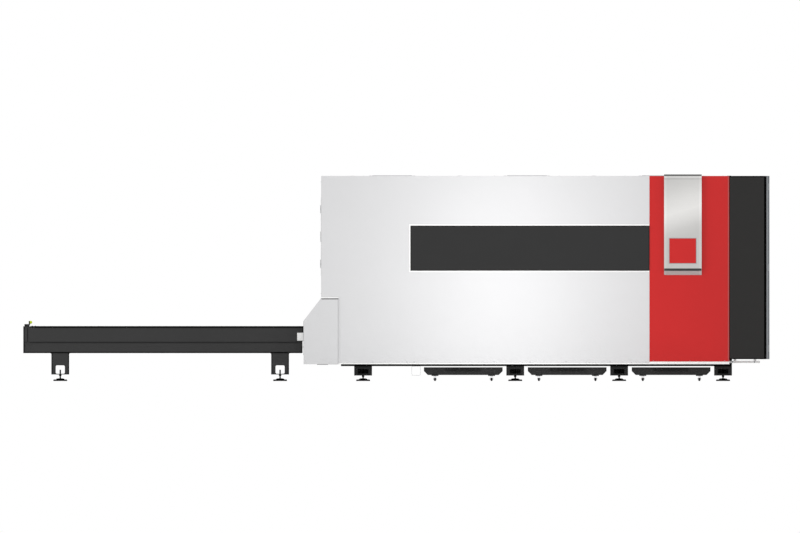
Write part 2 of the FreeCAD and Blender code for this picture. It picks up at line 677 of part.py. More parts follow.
# ================================================================ exchange station
def exchange_frame():
    """The station: two channels on four legs, tied by an end plate and cross tubes."""
    solids = []
    mid_start = SHAFT_X + CHAIN_R + 12
    for side in SIDES:
        channel = prism_x(track_outline(side), X_STATION + END_PLATE, X_STATION_END)
        channel = channel.cut(side_block(side, X_STATION + END_PLATE, mid_start, FLANGE_IN, WEB_IN,
                                         MID_FLANGE_TOP - FLANGE, MID_FLANGE_TOP))
        boss = side_rod(side, SHAFT_X, CHAIN_Z, BOSS_R, WEB_IN - BOSS_DEPTH, WEB_IN)
        channel = fused([channel, boss])
        bore = side_rod(side, SHAFT_X, CHAIN_Z, SHAFT_R + BEARING_GAP, WEB_IN - BOSS_DEPTH, WEB_IN)
        solids.append(channel.cut(bore))
        solids.append(side_block(side, X_STATION + END_PLATE, X_STATION + END_BLOCK_LENGTH,
                                 FLANGE_IN, WEB_OUT, CHANNEL_TOP, STATION_TOP))
        for from_end in LEG_FROM_END:
            solids.append(station_leg(X_STATION + from_end, side))
        solids += pallet_stops(side)
    solids.append(block(X_STATION, X_STATION + END_PLATE, -WEB_OUT, WEB_OUT, CHANNEL_Z, STATION_TOP))
    half = CROSS_TUBE / 2
    leg_in = WEB_OUT - LEG_DEPTH
    for from_end in LEG_FROM_END:
        x = X_STATION + from_end
        solids.append(tube_y(x - half, x + half, -leg_in, leg_in,
                             CHANNEL_Z - CROSS_TUBE, CHANNEL_Z, LEG_WALL))
    middle = X_STATION + sum(LEG_FROM_END) / 2
    solids.append(block(middle - half, middle + half, -FLANGE_IN, FLANGE_IN, CHANNEL_Z, CHANNEL_Z + FLANGE))
    return solids


def station_leg(x, side):
    """A folded leg with a window through which the levelling screw is reached."""
    half = LEG_WIDTH / 2
    inner = half - LEG_WALL
    u0 = WEB_OUT - LEG_DEPTH
    leg = side_block(side, x - half, x + half, u0, WEB_OUT, LEG_BOTTOM, CHANNEL_Z)
    corners = []
    for way in (-1, 1):
        edge = x + way * half
        gusset = side_block(side, min(edge, edge + way * LEG_FILLET), max(edge, edge + way * LEG_FILLET),
                            WEB_OUT - LEG_WALL, WEB_OUT, CHANNEL_Z - LEG_FILLET, CHANNEL_Z)
        corners.append(gusset.cut(side_rod(side, edge + way * LEG_FILLET, CHANNEL_Z - LEG_FILLET,
                                           LEG_FILLET, WEB_OUT - LEG_WALL, WEB_OUT)))
    leg = fused([leg] + corners)
    leg = leg.cut(side_block(side, x - inner, x + inner, u0 + LEG_WALL, WEB_OUT - LEG_WALL,
                             LEG_BOTTOM + LEG_WALL, CHANNEL_Z))
    width, low, high, radius = LEG_WINDOW
    y0, y1 = sorted((side * u0, side * WEB_OUT))
    leg = leg.cut(rounded_box_y(x - width / 2, x + width / 2, y0, y1, low, high, radius))
    return leg.cut(rod(V(x, side * (WEB_OUT - LEG_DEPTH / 2), LEG_BOTTOM), Z_AXIS, SCREW_HOLE_R, LEG_WALL))


def pallet_stops(side):
    """Round buffers on the end plate that each level's pallet runs up to."""
    stop_r = 12.0
    u = (TUBE_IN + TUBE_OUT) / 2
    start = X_STATION + END_PLATE
    length = UPPER_PALLET_X - RUN_GAP - start
    low = CHAIN_Z - SHAFT_R - STOP_UNDER_SHAFT - stop_r
    return [rod(V(start, side * u, z), X_AXIS, stop_r, length) for z in (low, low + LEVEL_STEP)]


def exchange_motor():
    """The geared motor on the exchange shaft."""
    gearbox_half = 50.0
    gearbox_y = (100.0, 220.0)
    motor_r = 42.0
    motor_length = 300.0
    top = CHANNEL_TOP - 26
    case = block(X_STATION + END_PLATE, SHAFT_X + gearbox_half - 5, gearbox_y[0], gearbox_y[1],
                 CHAIN_Z - 69, top)
    case = case.cut(rod(V(SHAFT_X, gearbox_y[0], CHAIN_Z), Y_AXIS, SHAFT_R + BEARING_GAP,
                        gearbox_y[1] - gearbox_y[0]))
    motor_z = top - motor_r + 7
    motor_start = gearbox_y[0] - motor_length
    motor = rod(V(SHAFT_X - 5, motor_start, motor_z), Y_AXIS, motor_r, motor_length)
    fan_cover = rod(V(SHAFT_X - 5, motor_start - 40, motor_z), Y_AXIS, motor_r - 3, 40)
    box = block(SHAFT_X - 5 + motor_r - 6, SHAFT_X + gearbox_half - 2, gearbox_y[0] - 150,
                gearbox_y[0] - 60, motor_z - 30, motor_z + 30)
    return [case, fused([motor, fan_cover, box])]


def exchange_shaft():
    """The cross shaft with a chain sprocket at each end."""
    reach = WEB_IN - 1
    shaft = rod(V(SHAFT_X, -reach, CHAIN_Z), Y_AXIS, SHAFT_R, 2 * reach)
    discs = [side_rod(side, SHAFT_X, CHAIN_Z, SPROCKET_R, CHAIN_IN - 2, CHAIN_IN - 2 + SPROCKET_WIDTH)
             for side in SIDES]
    return [fused([shaft] + discs)]


def exchange_chains():
    """The two drive chains, each a closed loop from the sprocket to the return shoe."""
    return [obround(side, CHAIN_R).cut(obround(side, CHAIN_R - CHAIN_THICK)) for side in SIDES]


def obround(side, radius):
    outer = CHAIN_IN + CHAIN_WIDTH
    middle = side_block(side, SHAFT_X, SHOE_X, CHAIN_IN, outer, CHAIN_Z - radius, CHAIN_Z + radius)
    ends = [side_rod(side, x, CHAIN_Z, radius, CHAIN_IN, outer) for x in (SHAFT_X, SHOE_X)]
    return fused([middle] + ends)


def pallet_sensor():
    """A stop bracket and a position lamp on the near end block."""
    foot = side_block(NEAR, X_STATION + 13, X_STATION + 66, WEB_OUT - 46, WEB_OUT - 6,
                      STATION_TOP, STATION_TOP + 8)
    lug = side_block(NEAR, X_STATION + 13, X_STATION + 74, WEB_OUT - 20, WEB_OUT - 6,
                     STATION_TOP + 8, STATION_TOP + 24)
    post = side_block(NEAR, X_STATION + 60, X_STATION + 74, WEB_OUT - 20, WEB_OUT - 6,
                      STATION_TOP + 24, STATION_TOP + 58)
    lamp_x = X_STATION + 74
    lamp_z = STATION_TOP + 44
    lamp = turned(V(lamp_x, NEAR * (WEB_OUT - 13), lamp_z), X_AXIS,
                  [(0, 0), (17, 0), (17, 12), (12, 20), (5, 24), (0, 24)])
    return [fused([foot, lug, post]), lamp]


# ================================================================ pallets
def slat_outline(bottom):
    """A slat seen from its face: straight below, pointed teeth above."""
    pitch = SLAT_LENGTH / SLAT_TEETH
    tip = bottom + SLAT_HEIGHT
    valley = tip - SLAT_TOOTH_DEPTH
    outline = [(-SLAT_HALF, bottom), (-SLAT_HALF, valley)]
    for tooth in range(SLAT_TEETH):
        start = -SLAT_HALF + tooth * pitch
        outline.append((start + pitch * 0.42, tip))
        outline.append((start + pitch * 0.58, tip))
        outline.append((start + pitch, valley))
    outline.append((SLAT_HALF, bottom))
    return outline


def slat_places(x0):
    """Middle of each slat along a pallet that begins at x0."""
    room = PALLET_LENGTH - 2 * PALLET_TUBE
    count = int(room / SLAT_PITCH)
    first = x0 + PALLET_TUBE + (room - (count - 1) * SLAT_PITCH) / 2
    return [first + i * SLAT_PITCH for i in range(count)]


def pallet_slats(x0, wheel_z):
    outline = slat_outline(wheel_z + TUBE_ABOVE_WHEEL + LEDGER_HEIGHT)
    return [prism_x(outline, x - SLAT_THICK / 2, x + SLAT_THICK / 2) for x in slat_places(x0)]


def pallet_comb(x0, side, low, top):
    """A strip that stands on a side tube at the slats' ends, with a notch at each slat."""
    half = COMB_NOTCH[0] / 2
    floor = top - COMB_NOTCH[1]
    outline = [(x0, low), (x0, top)]
    for x in slat_places(x0):
        outline += [(x - half, top), (x - half, floor), (x + half, floor), (x + half, top)]
    outline += [(x0 + PALLET_LENGTH, top), (x0 + PALLET_LENGTH, low)]
    y0, y1 = sorted((side * TUBE_IN, side * (TUBE_IN + COMB_THICK)))
    return prism_y(outline, y0, y1)


def pallet_frame(x0, wheel_z):
    """Tubes, ledgers and combs for the slats, wheel brackets with their pins, and chain dogs."""
    x1 = x0 + PALLET_LENGTH
    tube_low = wheel_z + TUBE_ABOVE_WHEEL
    tube_top = tube_low + PALLET_TUBE
    solids = []
    for x in (x0, x1 - PALLET_TUBE):
        solids.append(tube_y(x, x + PALLET_TUBE, -TUBE_IN, TUBE_IN, tube_low, tube_top, PALLET_TUBE_WALL))
    third = SLAT_HALF / 3
    inner_x0 = x0 + PALLET_TUBE
    inner_x1 = x1 - PALLET_TUBE
    for side in SIDES:
        y0, y1 = sorted((side * TUBE_IN, side * TUBE_OUT))
        solids.append(tube_x(x0, x1, y0, y1, tube_low, tube_top, PALLET_TUBE_WALL))
        for u0 in (TUBE_IN - LEDGER_WIDTH, third - LEDGER_WIDTH / 2):
            solids.append(side_block(side, inner_x0, inner_x1, u0, u0 + LEDGER_WIDTH,
                                     tube_low, tube_low + LEDGER_HEIGHT))
        for wheel_x, low_x, high_x in ((x0 + WHEEL_INSET, x0 + 10, x0 + WHEEL_INSET + 60),
                                       (x1 - WHEEL_INSET, x1 - WHEEL_INSET - 60, x1 - WHEEL_INSET + 60)):
            plate = side_block(side, low_x, high_x, TUBE_OUT, BRACKET_OUT, wheel_z - 20, tube_top)
            solids.append(fused([plate] + wheel_pin(side, wheel_x, wheel_z)))
        comb_top = tube_low + LEDGER_HEIGHT + SLAT_HEIGHT - COMB_BELOW_TIP
        solids.append(pallet_comb(x0, side, tube_top, comb_top))
        dog_x = x0 + DOG_FROM_END
        dog_z = wheel_z + DOG_ABOVE_WHEEL
        solids.append(side_block(side, dog_x - 10, dog_x + 10, BRACKET_OUT, CHAIN_IN - 4,
                                 dog_z - 10, dog_z + 10))
    return solids


def wheel_pin(side, x, z):
    """A pin with a shoulder inside the wheel and a retaining washer outside it."""
    shoulder = side_rod(side, x, z, PIN_R + 6, BRACKET_OUT, WHEEL_IN - 1)
    pin = side_rod(side, x, z, PIN_R, BRACKET_OUT, WHEEL_OUT + 1)
    washer = side_rod(side, x, z, PIN_R + 5, WHEEL_OUT + 1, WHEEL_OUT + 4)
    return [shoulder, pin, washer]


def pallet_wheels(wheel_x, wheel_z):
    """The two flangeless track wheels at one end of a pallet."""
    bore = PIN_R + BEARING_GAP
    hub = PIN_R + 8
    rim = WHEEL_R - 6
    w = WHEEL_WIDTH
    profile = [(bore, 0), (hub, 0), (hub, 5), (rim, 5), (rim, 0), (WHEEL_R - 1, 0), (WHEEL_R, 1),
               (WHEEL_R, w - 1), (WHEEL_R - 1, w), (rim, w), (rim, w - 5), (hub, w - 5), (hub, w), (bore, w)]
    return [turned(V(wheel_x, side * WHEEL_IN, wheel_z), Y_AXIS * side, profile) for side in SIDES]


# ================================================================ scrap trays
def scrap_tray(x):
    """A folded tray on four fixed castors, with a pull bar on its front."""
    half = TRAY_WIDTH / 2
    shoulder = TRAY_BOTTOM + TRAY_CHAMFER
    y0 = -TRAY_FRONT
    y1 = y0 + TRAY_LENGTH
    outer = [(x - half, TRAY_TOP), (x - half, shoulder), (x - half + TRAY_CHAMFER, TRAY_BOTTOM),
             (x + half - TRAY_CHAMFER, TRAY_BOTTOM), (x + half, shoulder), (x + half, TRAY_TOP)]
    t = TRAY_SHEET
    bend = t * math.tan(math.radians(22.5))
    inner = [(x - half + t, TRAY_TOP), (x - half + t, shoulder + bend),
             (x - half + TRAY_CHAMFER + bend, TRAY_BOTTOM + t),
             (x + half - TRAY_CHAMFER - bend, TRAY_BOTTOM + t),
             (x + half - t, shoulder + bend), (x + half - t, TRAY_TOP)]
    solids = [prism_y(outer, y0, y1).cut(prism_y(inner, y0 + t, y1 - t))]
    bar_y = y0 - HANDLE_REACH
    bar = rod(V(x - HANDLE_LENGTH / 2, bar_y, HANDLE_Z), X_AXIS, HANDLE_R, HANDLE_LENGTH)
    legs = [rod(V(x + way * (HANDLE_LENGTH / 2 - HANDLE_LEG_INSET), bar_y, HANDLE_Z), Y_AXIS,
                HANDLE_LEG_R, HANDLE_REACH) for way in (-1, 1)]
    solids.append(fused([bar] + legs))
    for caster_y in caster_rows():
        for way in (-1, 1):
            solids.append(caster_fork(x + way * CASTER_X, caster_y))
    return solids


def caster_rows():
    return (-TRAY_FRONT + CASTER_INSET, -TRAY_FRONT + TRAY_LENGTH - CASTER_INSET)


def caster_fork(x, y):
    """A folded fork with its axle across it, under the tray."""
    plate_x, plate_y, plate_z = CASTER_PLATE
    plate = block(x - plate_x / 2, x + plate_x / 2, y - plate_y / 2, y + plate_y / 2,
                  TRAY_BOTTOM - plate_z, TRAY_BOTTOM)
    inner = CASTER_WIDTH / 2 + FORK_GAP
    outer = inner + FORK_SHEET
    cheeks = []
    for x0, x1 in ((x - outer, x - inner), (x + inner, x + outer)):
        cheeks.append(block(x0, x1, y - FORK_WIDTH / 2, y + FORK_WIDTH / 2, CASTER_R, TRAY_BOTTOM - plate_z))
        cheeks.append(rod(V(x0, y, CASTER_R), X_AXIS, FORK_WIDTH / 2, FORK_SHEET))
    axle = rod(V(x - outer - 3, y, CASTER_R), X_AXIS, AXLE_R, 2 * outer + 6)
    return fused([plate] + cheeks + [axle])


def caster_wheels(x, y):
    """The two wheels of one castor row."""
    bore = AXLE_R + BEARING_GAP
    w = CASTER_WIDTH
    profile = [(bore, 0), (CASTER_R - 8, 0), (CASTER_R - 2, 1), (CASTER_R, 5), (CASTER_R, w - 5),
               (CASTER_R - 2, w - 1), (CASTER_R - 8, w), (bore, w)]
    return [turned(V(x + way * CASTER_X - w / 2, y, CASTER_R), X_AXIS, profile) for way in (-1, 1)]


# ================================================================ gantry
def gantry_beam():
    """The gantry: a box beam on two end plates, each on two rail blocks."""
    half_x = BEAM_SECTION[0] / 2
    top = GANTRY_Z + BEAM_SECTION[1]
    x = GANTRY_X
    beam_reach = BEAM_IN + 30
    solids = [tube_y(x - half_x, x + half_x, -beam_reach, beam_reach, GANTRY_Z, top, BEAM_WALL)]
    for side in SIDES:
        plate = side_block(side, x - GANTRY_HALF_PLATE, x + GANTRY_HALF_PLATE, BEAM_IN - 30, GEARBOX_OUT,
                           BLOCK_TOP_Z, GANTRY_Z)
        hole = rod(V(X_PINION_X, side * PINION_U, BLOCK_TOP_Z), Z_AXIS, X_SHAFT_R + SHAFT_ROOM,
                   BEAM_END_PLATE)
        solids.append(plate.cut(hole))
        solids.append(side_block(side, x - half_x - 20, x + half_x, beam_reach, beam_reach + 15,
                                 GANTRY_Z, top + 13))
        for way in (-1, 1):
            solids.append(x_block(x + way * BLOCK_X, side))
    return solids


def x_block(x, side):
    """A guide block that straddles its rail."""
    low = BEAM_TOP_Z + BLOCK_LIFT
    groove = X_RAIL / 2 + RUN_GAP
    body = side_block(side, x - BLOCK_LENGTH / 2, x + BLOCK_LENGTH / 2, RAIL_U - BLOCK_HALF_WIDTH,
                      RAIL_U + BLOCK_HALF_WIDTH, low, BLOCK_TOP_Z)
    slot = side_block(side, x - BLOCK_LENGTH / 2, x + BLOCK_LENGTH / 2, RAIL_U - groove, RAIL_U + groove,
                      low, BEAM_TOP_Z + X_RAIL + RUN_GAP)
    return body.cut(slot)


def gantry_rails():
    """Two guide rails and the carriage rack on the beam's front face."""
    face = GANTRY_X + BEAM_SECTION[0] / 2
    reach = BEAM_IN
    solids = []
    for z in Y_RAIL_Z:
        solids.append(block(face, face + Y_RAIL, -reach, reach,
                            GANTRY_Z + z - Y_RAIL / 2, GANTRY_Z + z + Y_RAIL / 2))
    pitch_line = GANTRY_Z + Y_RACK_PITCH_Z
    outline = rack_outline(-reach + 300, reach + 25, pitch_line - Y_RACK_DEPTH, pitch_line, Y_PINION_Y)
    solids.append(prism_x(outline, face, face + Y_RAIL))
    return solids


def x_motors():
    """The two gantry drives: a gearbox with a servo motor on top, one at each side."""
    solids = []
    half = GEARBOX / 2
    motor_half = MOTOR / 2
    gearbox_top = GANTRY_Z + GEARBOX_HEIGHT
    for side in SIDES:
        gearbox = side_block(side, X_PINION_X - half, X_PINION_X + half, PINION_U - half, PINION_U + half,
                             GANTRY_Z, gearbox_top)
        gearbox = gearbox.cut(rod(V(X_PINION_X, side * PINION_U, GANTRY_Z), Z_AXIS,
                                  X_SHAFT_R + BEARING_GAP, 2 * X_SHAFT_R + 1))
        solids.append(gearbox)
        solids.append(side_block(side, X_PINION_X - motor_half, X_PINION_X + motor_half,
                                 PINION_U - motor_half, PINION_U + motor_half, gearbox_top,
                                 gearbox_top + MOTOR_HEIGHT))
    return solids


def x_pinion(side):
    """A drive pinion on its shaft, with a tooth space facing the rack."""
    toward_rack = math.pi / 2 if side == NEAR else -math.pi / 2
    outline = [(X_PINION_X + x, side * PINION_U + y)
               for x, y in pinion_outline(X_PINION_TEETH, toward_rack)]
    low = BEAM_TOP_Z + 2
    gear = prism_z(outline, low, low + PINION_WIDTH)
    top = GANTRY_Z + 2 * X_SHAFT_R
    shaft = rod(V(X_PINION_X, side * PINION_U, low), Z_AXIS, X_SHAFT_R, top - low)
    return [fused([gear, shaft])]


def y_carriage():
    """The carriage: a plate on four guide blocks, the lift housing and its motor."""
    face = GANTRY_X + BEAM_SECTION[0] / 2
    plate_x = GANTRY_X + PLATE_FROM_AXIS
    housing_x = GANTRY_X + HOUSING_FROM_AXIS
    plate = block(plate_x, housing_x, CARRIAGE_Y[0], CARRIAGE_Y[1],
                  GANTRY_Z + CARRIAGE_Z[0], GANTRY_Z + CARRIAGE_Z[1])
    plate = plate.cut(rod(V(plate_x, Y_PINION_Y, GANTRY_Z + Y_RACK_PITCH_Z + Y_PINION_R), X_AXIS,
                          Y_SHAFT_R + SHAFT_ROOM, CARRIAGE_PLATE))
    solids = [plate]
    length, height = Y_BLOCK
    groove = Y_RAIL / 2 + RUN_GAP
    for y in Y_BLOCK_Y:
        for z in Y_RAIL_Z:
            middle = GANTRY_Z + z
            body = block(face + 6, plate_x, y - length / 2, y + length / 2,
                         middle - height / 2, middle + height / 2)
            slot = block(face + 6, face + Y_RAIL + RUN_GAP, y - length / 2, y + length / 2,
                         middle - groove, middle + groove)
            solids.append(body.cut(slot))
    depth, width, low, high = Z_HOUSING
    solids.append(block(housing_x, housing_x + depth, -width / 2, width / 2, GANTRY_Z + low, GANTRY_Z + high))
    solids.append(block(housing_x, housing_x + depth, -width / 3, width / 3,
                        GANTRY_Z + high, GANTRY_Z + high + Z_MOTOR_HEIGHT))
    return solids


def y_motor():
    """The carriage drive: a gearbox and a servo motor in front of the plate."""
    x = GANTRY_X + HOUSING_FROM_AXIS
    z = GANTRY_Z + Y_RACK_PITCH_Z + Y_PINION_R
    half = GEARBOX / 2
    motor_half = MOTOR / 2
    gearbox = block(x, x + 60, Y_PINION_Y - half, Y_PINION_Y + half, z - half, z + half)
    gearbox = gearbox.cut(rod(V(x, Y_PINION_Y, z), X_AXIS, Y_SHAFT_R + BEARING_GAP, 2 * Y_SHAFT_R + 7))
    motor = block(x + 60, x + 177, Y_PINION_Y - motor_half, Y_PINION_Y + motor_half,
                  z - motor_half, z + motor_half)
    return [gearbox, motor]


def y_pinion():
    """The carriage pinion on its shaft, with a tooth space facing down to the rack."""
    x = GANTRY_X + BEAM_SECTION[0] / 2 + 1
    z = GANTRY_Z + Y_RACK_PITCH_Z + Y_PINION_R
    outline = [(Y_PINION_Y + y, z + h) for y, h in pinion_outline(Y_PINION_TEETH, -math.pi / 2)]
    gear = prism_x(outline, x, x + Y_RAIL - 1)
    end = GANTRY_X + HOUSING_FROM_AXIS + 2 * Y_SHAFT_R + 6
    shaft = rod(V(x, Y_PINION_Y, z), X_AXIS, Y_SHAFT_R, end - x)
    return [fused([gear, shaft])]


def z_slide():
    """The lift plate that carries the cutting head, on the housing's guide."""
    depth, width, low, high = Z_PLATE
    x = GANTRY_X + SLIDE_FROM_AXIS
    return [block(x + RUN_GAP, x + depth, -width / 2, width / 2, GANTRY_Z + low, GANTRY_Z + high)]


def cutting_head():
    """The head: a body, the collimator with its fibre socket, and the lower cone."""
    depth, width, low, high = HEAD_BODY
    x = GANTRY_X + HEAD_FROM_AXIS
    axis_x = GANTRY_X + NOZZLE_FROM_AXIS
    body = block(x, x + depth, -width / 2, width / 2, GANTRY_Z + low, GANTRY_Z + high)
    collimator = turned(V(axis_x, 0, GANTRY_Z), Z_AXIS, [
        (0, high), (COLLIMATOR_R + 6, high), (COLLIMATOR_R + 6, high + 12), (COLLIMATOR_R, high + 16),
        (COLLIMATOR_R, COLLIMATOR_TOP - 25), (COLLIMATOR_R - 8, COLLIMATOR_TOP - 20),
        (COLLIMATOR_R - 8, COLLIMATOR_TOP), (0, COLLIMATOR_TOP)])
    cone = turned(V(axis_x, 0, GANTRY_Z), Z_AXIS, [
        (0, low), (30, low), (30, low - 8), (12, CONE_BOTTOM), (0, CONE_BOTTOM)])
    return [body, collimator, cone]


def nozzle():
    """The copper nozzle with its beam hole."""
    axis_x = GANTRY_X + NOZZLE_FROM_AXIS
    tip = CONE_BOTTOM - NOZZLE_LENGTH
    return [turned(V(axis_x, 0, GANTRY_Z), Z_AXIS, [
        (2, CONE_BOTTOM), (9, CONE_BOTTOM), (9, CONE_BOTTOM - 6), (7, CONE_BOTTOM - 8),
        (3, tip), (1, tip)])]


# ================================================================ enclosure
def near_side_panel():
    """The long white wall with its window aperture."""
    panel = side_pan(NEAR, X_WALL, X_RED, SILL_TOP_Z, PANEL_TOP_Z)
    x0 = LOWER_PALLET_X - WINDOW_BEFORE_PALLET + WINDOW_LAP
    x1 = X_RED - WINDOW_LAP
    z0 = WINDOW_Z[0] + WINDOW_LAP
    z1 = WINDOW_Z[1] - WINDOW_LAP
    frame = side_block(NEAR, x0 - SKIN, x1 + SKIN, PANEL_IN, HALF_WIDTH, z0 - SKIN, z1 + SKIN)
    opening = side_block(NEAR, x0, x1, PANEL_IN, HALF_WIDTH, z0, z1)
    return [fused([panel, frame]).cut(opening)]


def near_window():
    """The smoked safety glass, fixed over the aperture from outside."""
    return [side_block(NEAR, LOWER_PALLET_X - WINDOW_BEFORE_PALLET, X_RED, HALF_WIDTH,
                       HALF_WIDTH + WINDOW_GLASS, WINDOW_Z[0], WINDOW_Z[1])]


def far_side_panel():
    """The plain far wall with the round collar for the extraction duct."""
    panel = side_pan(FAR, X_WALL, X_RED, SILL_TOP_Z, PANEL_TOP_Z)
    x = X_WALL + COLLAR_FROM_WALL
    reach = HALF_WIDTH + BAND_PROUD + BADGE_THICK
    collar = side_rod(FAR, x, COLLAR_Z, COLLAR_R, HALF_WIDTH - SKIN, reach)
    hole = side_rod(FAR, x, COLLAR_Z, COLLAR_R - COLLAR_WALL, HALF_WIDTH - SKIN, reach)
    return [fused([panel, collar]).cut(hole)]


def red_panels():
    """The red wall panels on both sides."""
    return [side_pan(side, X_RED, X_BAY, SILL_TOP_Z + RED_RISER, PANEL_TOP_Z) for side in SIDES]


def steel_band():
    """The brushed steel cover that hooks over the red panel's top edge."""
    front = HALF_WIDTH + BAND_PROUD
    top = PANEL_TOP_Z + BAND_RISE
    groove = front - BAND_GROOVE
    hook = HALF_WIDTH - BAND_HOOK
    t = BAND_SHEET
    outer = band_section([
        (HALF_WIDTH, BAND_BOTTOM), (HALF_WIDTH + 5, BAND_BOTTOM), (front - 5, BAND_LIP_TOP),
        (groove, BAND_LIP_TOP + 2), (groove, BAND_GROOVE_TOP), (front, BAND_GROOVE_TOP)],
        front, top, BAND_BEND, [(hook, top), (hook, PANEL_TOP_Z), (HALF_WIDTH, PANEL_TOP_Z)])
    inner = band_section([
        (HALF_WIDTH, BAND_BOTTOM + t), (HALF_WIDTH + 4, BAND_BOTTOM + t), (groove - t, BAND_LIP_TOP - 4),
        (groove - t, BAND_GROOVE_TOP + t), (front - t, BAND_GROOVE_TOP + t)],
        front - t, top - t, BAND_BEND - t, [(hook + t, top - t), (hook + t, PANEL_TOP_Z),
                                            (HALF_WIDTH, PANEL_TOP_Z)])
    shell = outer.extrude(X_AXIS * BAND_WIDTH)
    hollow = inner.extrude(X_AXIS * (BAND_WIDTH - 2 * t))
    hollow.translate(X_AXIS * t)
    return [shell.cut(hollow)]


def band_section(below, front, top, bend, above):
    """A face across the band: straight edges with one rounded bend at the top front."""
    def at(u, z):
        return V(BAND_X, NEAR * u, z)

    turn = bend * (1 - math.sqrt(0.5))
    start = at(front, top - bend)
    middle = at(front - turn, top - turn)
    end = at(front - bend, top)
    lower = [at(u, z) for u, z in below] + [start]
    upper = [end] + [at(u, z) for u, z in above] + [lower[0]]
    edges = [Part.makeLine(a, b) for a, b in zip(lower, lower[1:])]
    edges.append(Part.Arc(start, middle, end).toShape())
    edges += [Part.makeLine(a, b) for a, b in zip(upper, upper[1:])]
    return Part.Face(Part.Wire(edges))


def badge_plate():
    """A bare square plate on the band."""
    x = BAND_X + BADGE_CENTRE[0]
    width, height = BADGE_SIZE
    front = HALF_WIDTH + BAND_PROUD
    return [side_block(NEAR, x - width / 2, x + width / 2, front, front + BADGE_THICK,
                       BADGE_CENTRE[1] - height / 2, BADGE_CENTRE[1] + height / 2)]


def end_wall():
    """The wall behind the tunnel hood: folded panels round the pallet opening and the
    hatch opening, the lift door's guides and the hatch's hinge pins."""
    tunnel = WEB_OUT + TUNNEL_U
    solids = []
    for side in SIDES:
        solids.append(wall_panel(side * tunnel, side * PANEL_IN, SILL_TOP_Z, PANEL_TOP_Z))
        solids.append(wall_panel(side * HATCH_HALF, side * tunnel, HATCH_Z[0], HATCH_Z[1]))
    for z0, z1 in ((SILL_TOP_Z, TUNNEL_Z[0]), (TUNNEL_Z[1], HATCH_Z[0]), (HATCH_Z[1], PANEL_TOP_Z)):
        solids.append(wall_panel(-tunnel, tunnel, z0, z1))
    door_x = X_WALL + PANEL_DEPTH
    door_end = door_x + RUN_GAP + LIFT_DOOR_THICK + RUN_GAP
    guide_z = (LIFT_DOOR_Z[0] - 18, HATCH_Z[0])
    edge = tunnel + 10 + RUN_GAP
    for side in SIDES:
        solids.append(side_block(side, door_x, door_end + 5, edge, edge + 14, guide_z[0], guide_z[1]))
        solids.append(side_block(side, door_end, door_end + 5, edge - 14, edge, guide_z[0], guide_z[1]))
    for z in hatch_hinge_heights():
        for low in (z - 45, z + 15):
            solids.append(hatch_knuckle(low, 30, HATCH_HALF, HATCH_HALF + 30, 0))
        solids.append(rod(V(X_WALL - HATCH_KNUCKLE_R, HATCH_HALF, z - 15), Z_AXIS, HATCH_PIN_R, 30))
    return solids


def wall_panel(y_edge, y_other, z0, z1):
    """One folded panel of the end wall, open towards the inside."""
    y0, y1 = sorted((y_edge, y_other))
    return pan([X_WALL, y0, z0], [X_WALL + PANEL_DEPTH, y1, z1], 0, 1)


def hatch_hinge_heights():
    return (HATCH_Z[0] + 150, HATCH_Z[1] - 150)


def hatch_knuckle(low, height, y0, y1, bore_r):
    """A hinge barrel with its strap, on the outer face of the wall or the hatch."""
    barrel = rod(V(X_WALL - HATCH_KNUCKLE_R, HATCH_HALF, low), Z_AXIS, HATCH_KNUCKLE_R, height)
    strap = block(X_WALL - SKIN, X_WALL, y0, y1, low, low + height)
    knuckle = fused([barrel, strap])
    if bore_r > 0:
        knuckle = knuckle.cut(rod(V(X_WALL - HATCH_KNUCKLE_R, HATCH_HALF, low), Z_AXIS, bore_r, height))
    return knuckle


def service_hatch():
    """The maintenance hatch in the end wall, with a pull and two hinge barrels."""
    half = HATCH_HALF - PANEL_GAP
    leaf = pan([X_WALL, -half, HATCH_Z[0] + PANEL_GAP], [X_WALL + HATCH_THICK, half, HATCH_Z[1] - PANEL_GAP],
               0, 1, SKIN, 18)
    pull = block(X_WALL - HATCH_HANDLE, X_WALL, -half + 20, -half + 45, HATCH_HANDLE_Z[0], HATCH_HANDLE_Z[1])
    solids = [leaf, pull]
    for z in hatch_hinge_heights():
        solids.append(hatch_knuckle(z - 14.5, 29, half - 30, HATCH_HALF, HATCH_PIN_R + BEARING_GAP))
    return solids


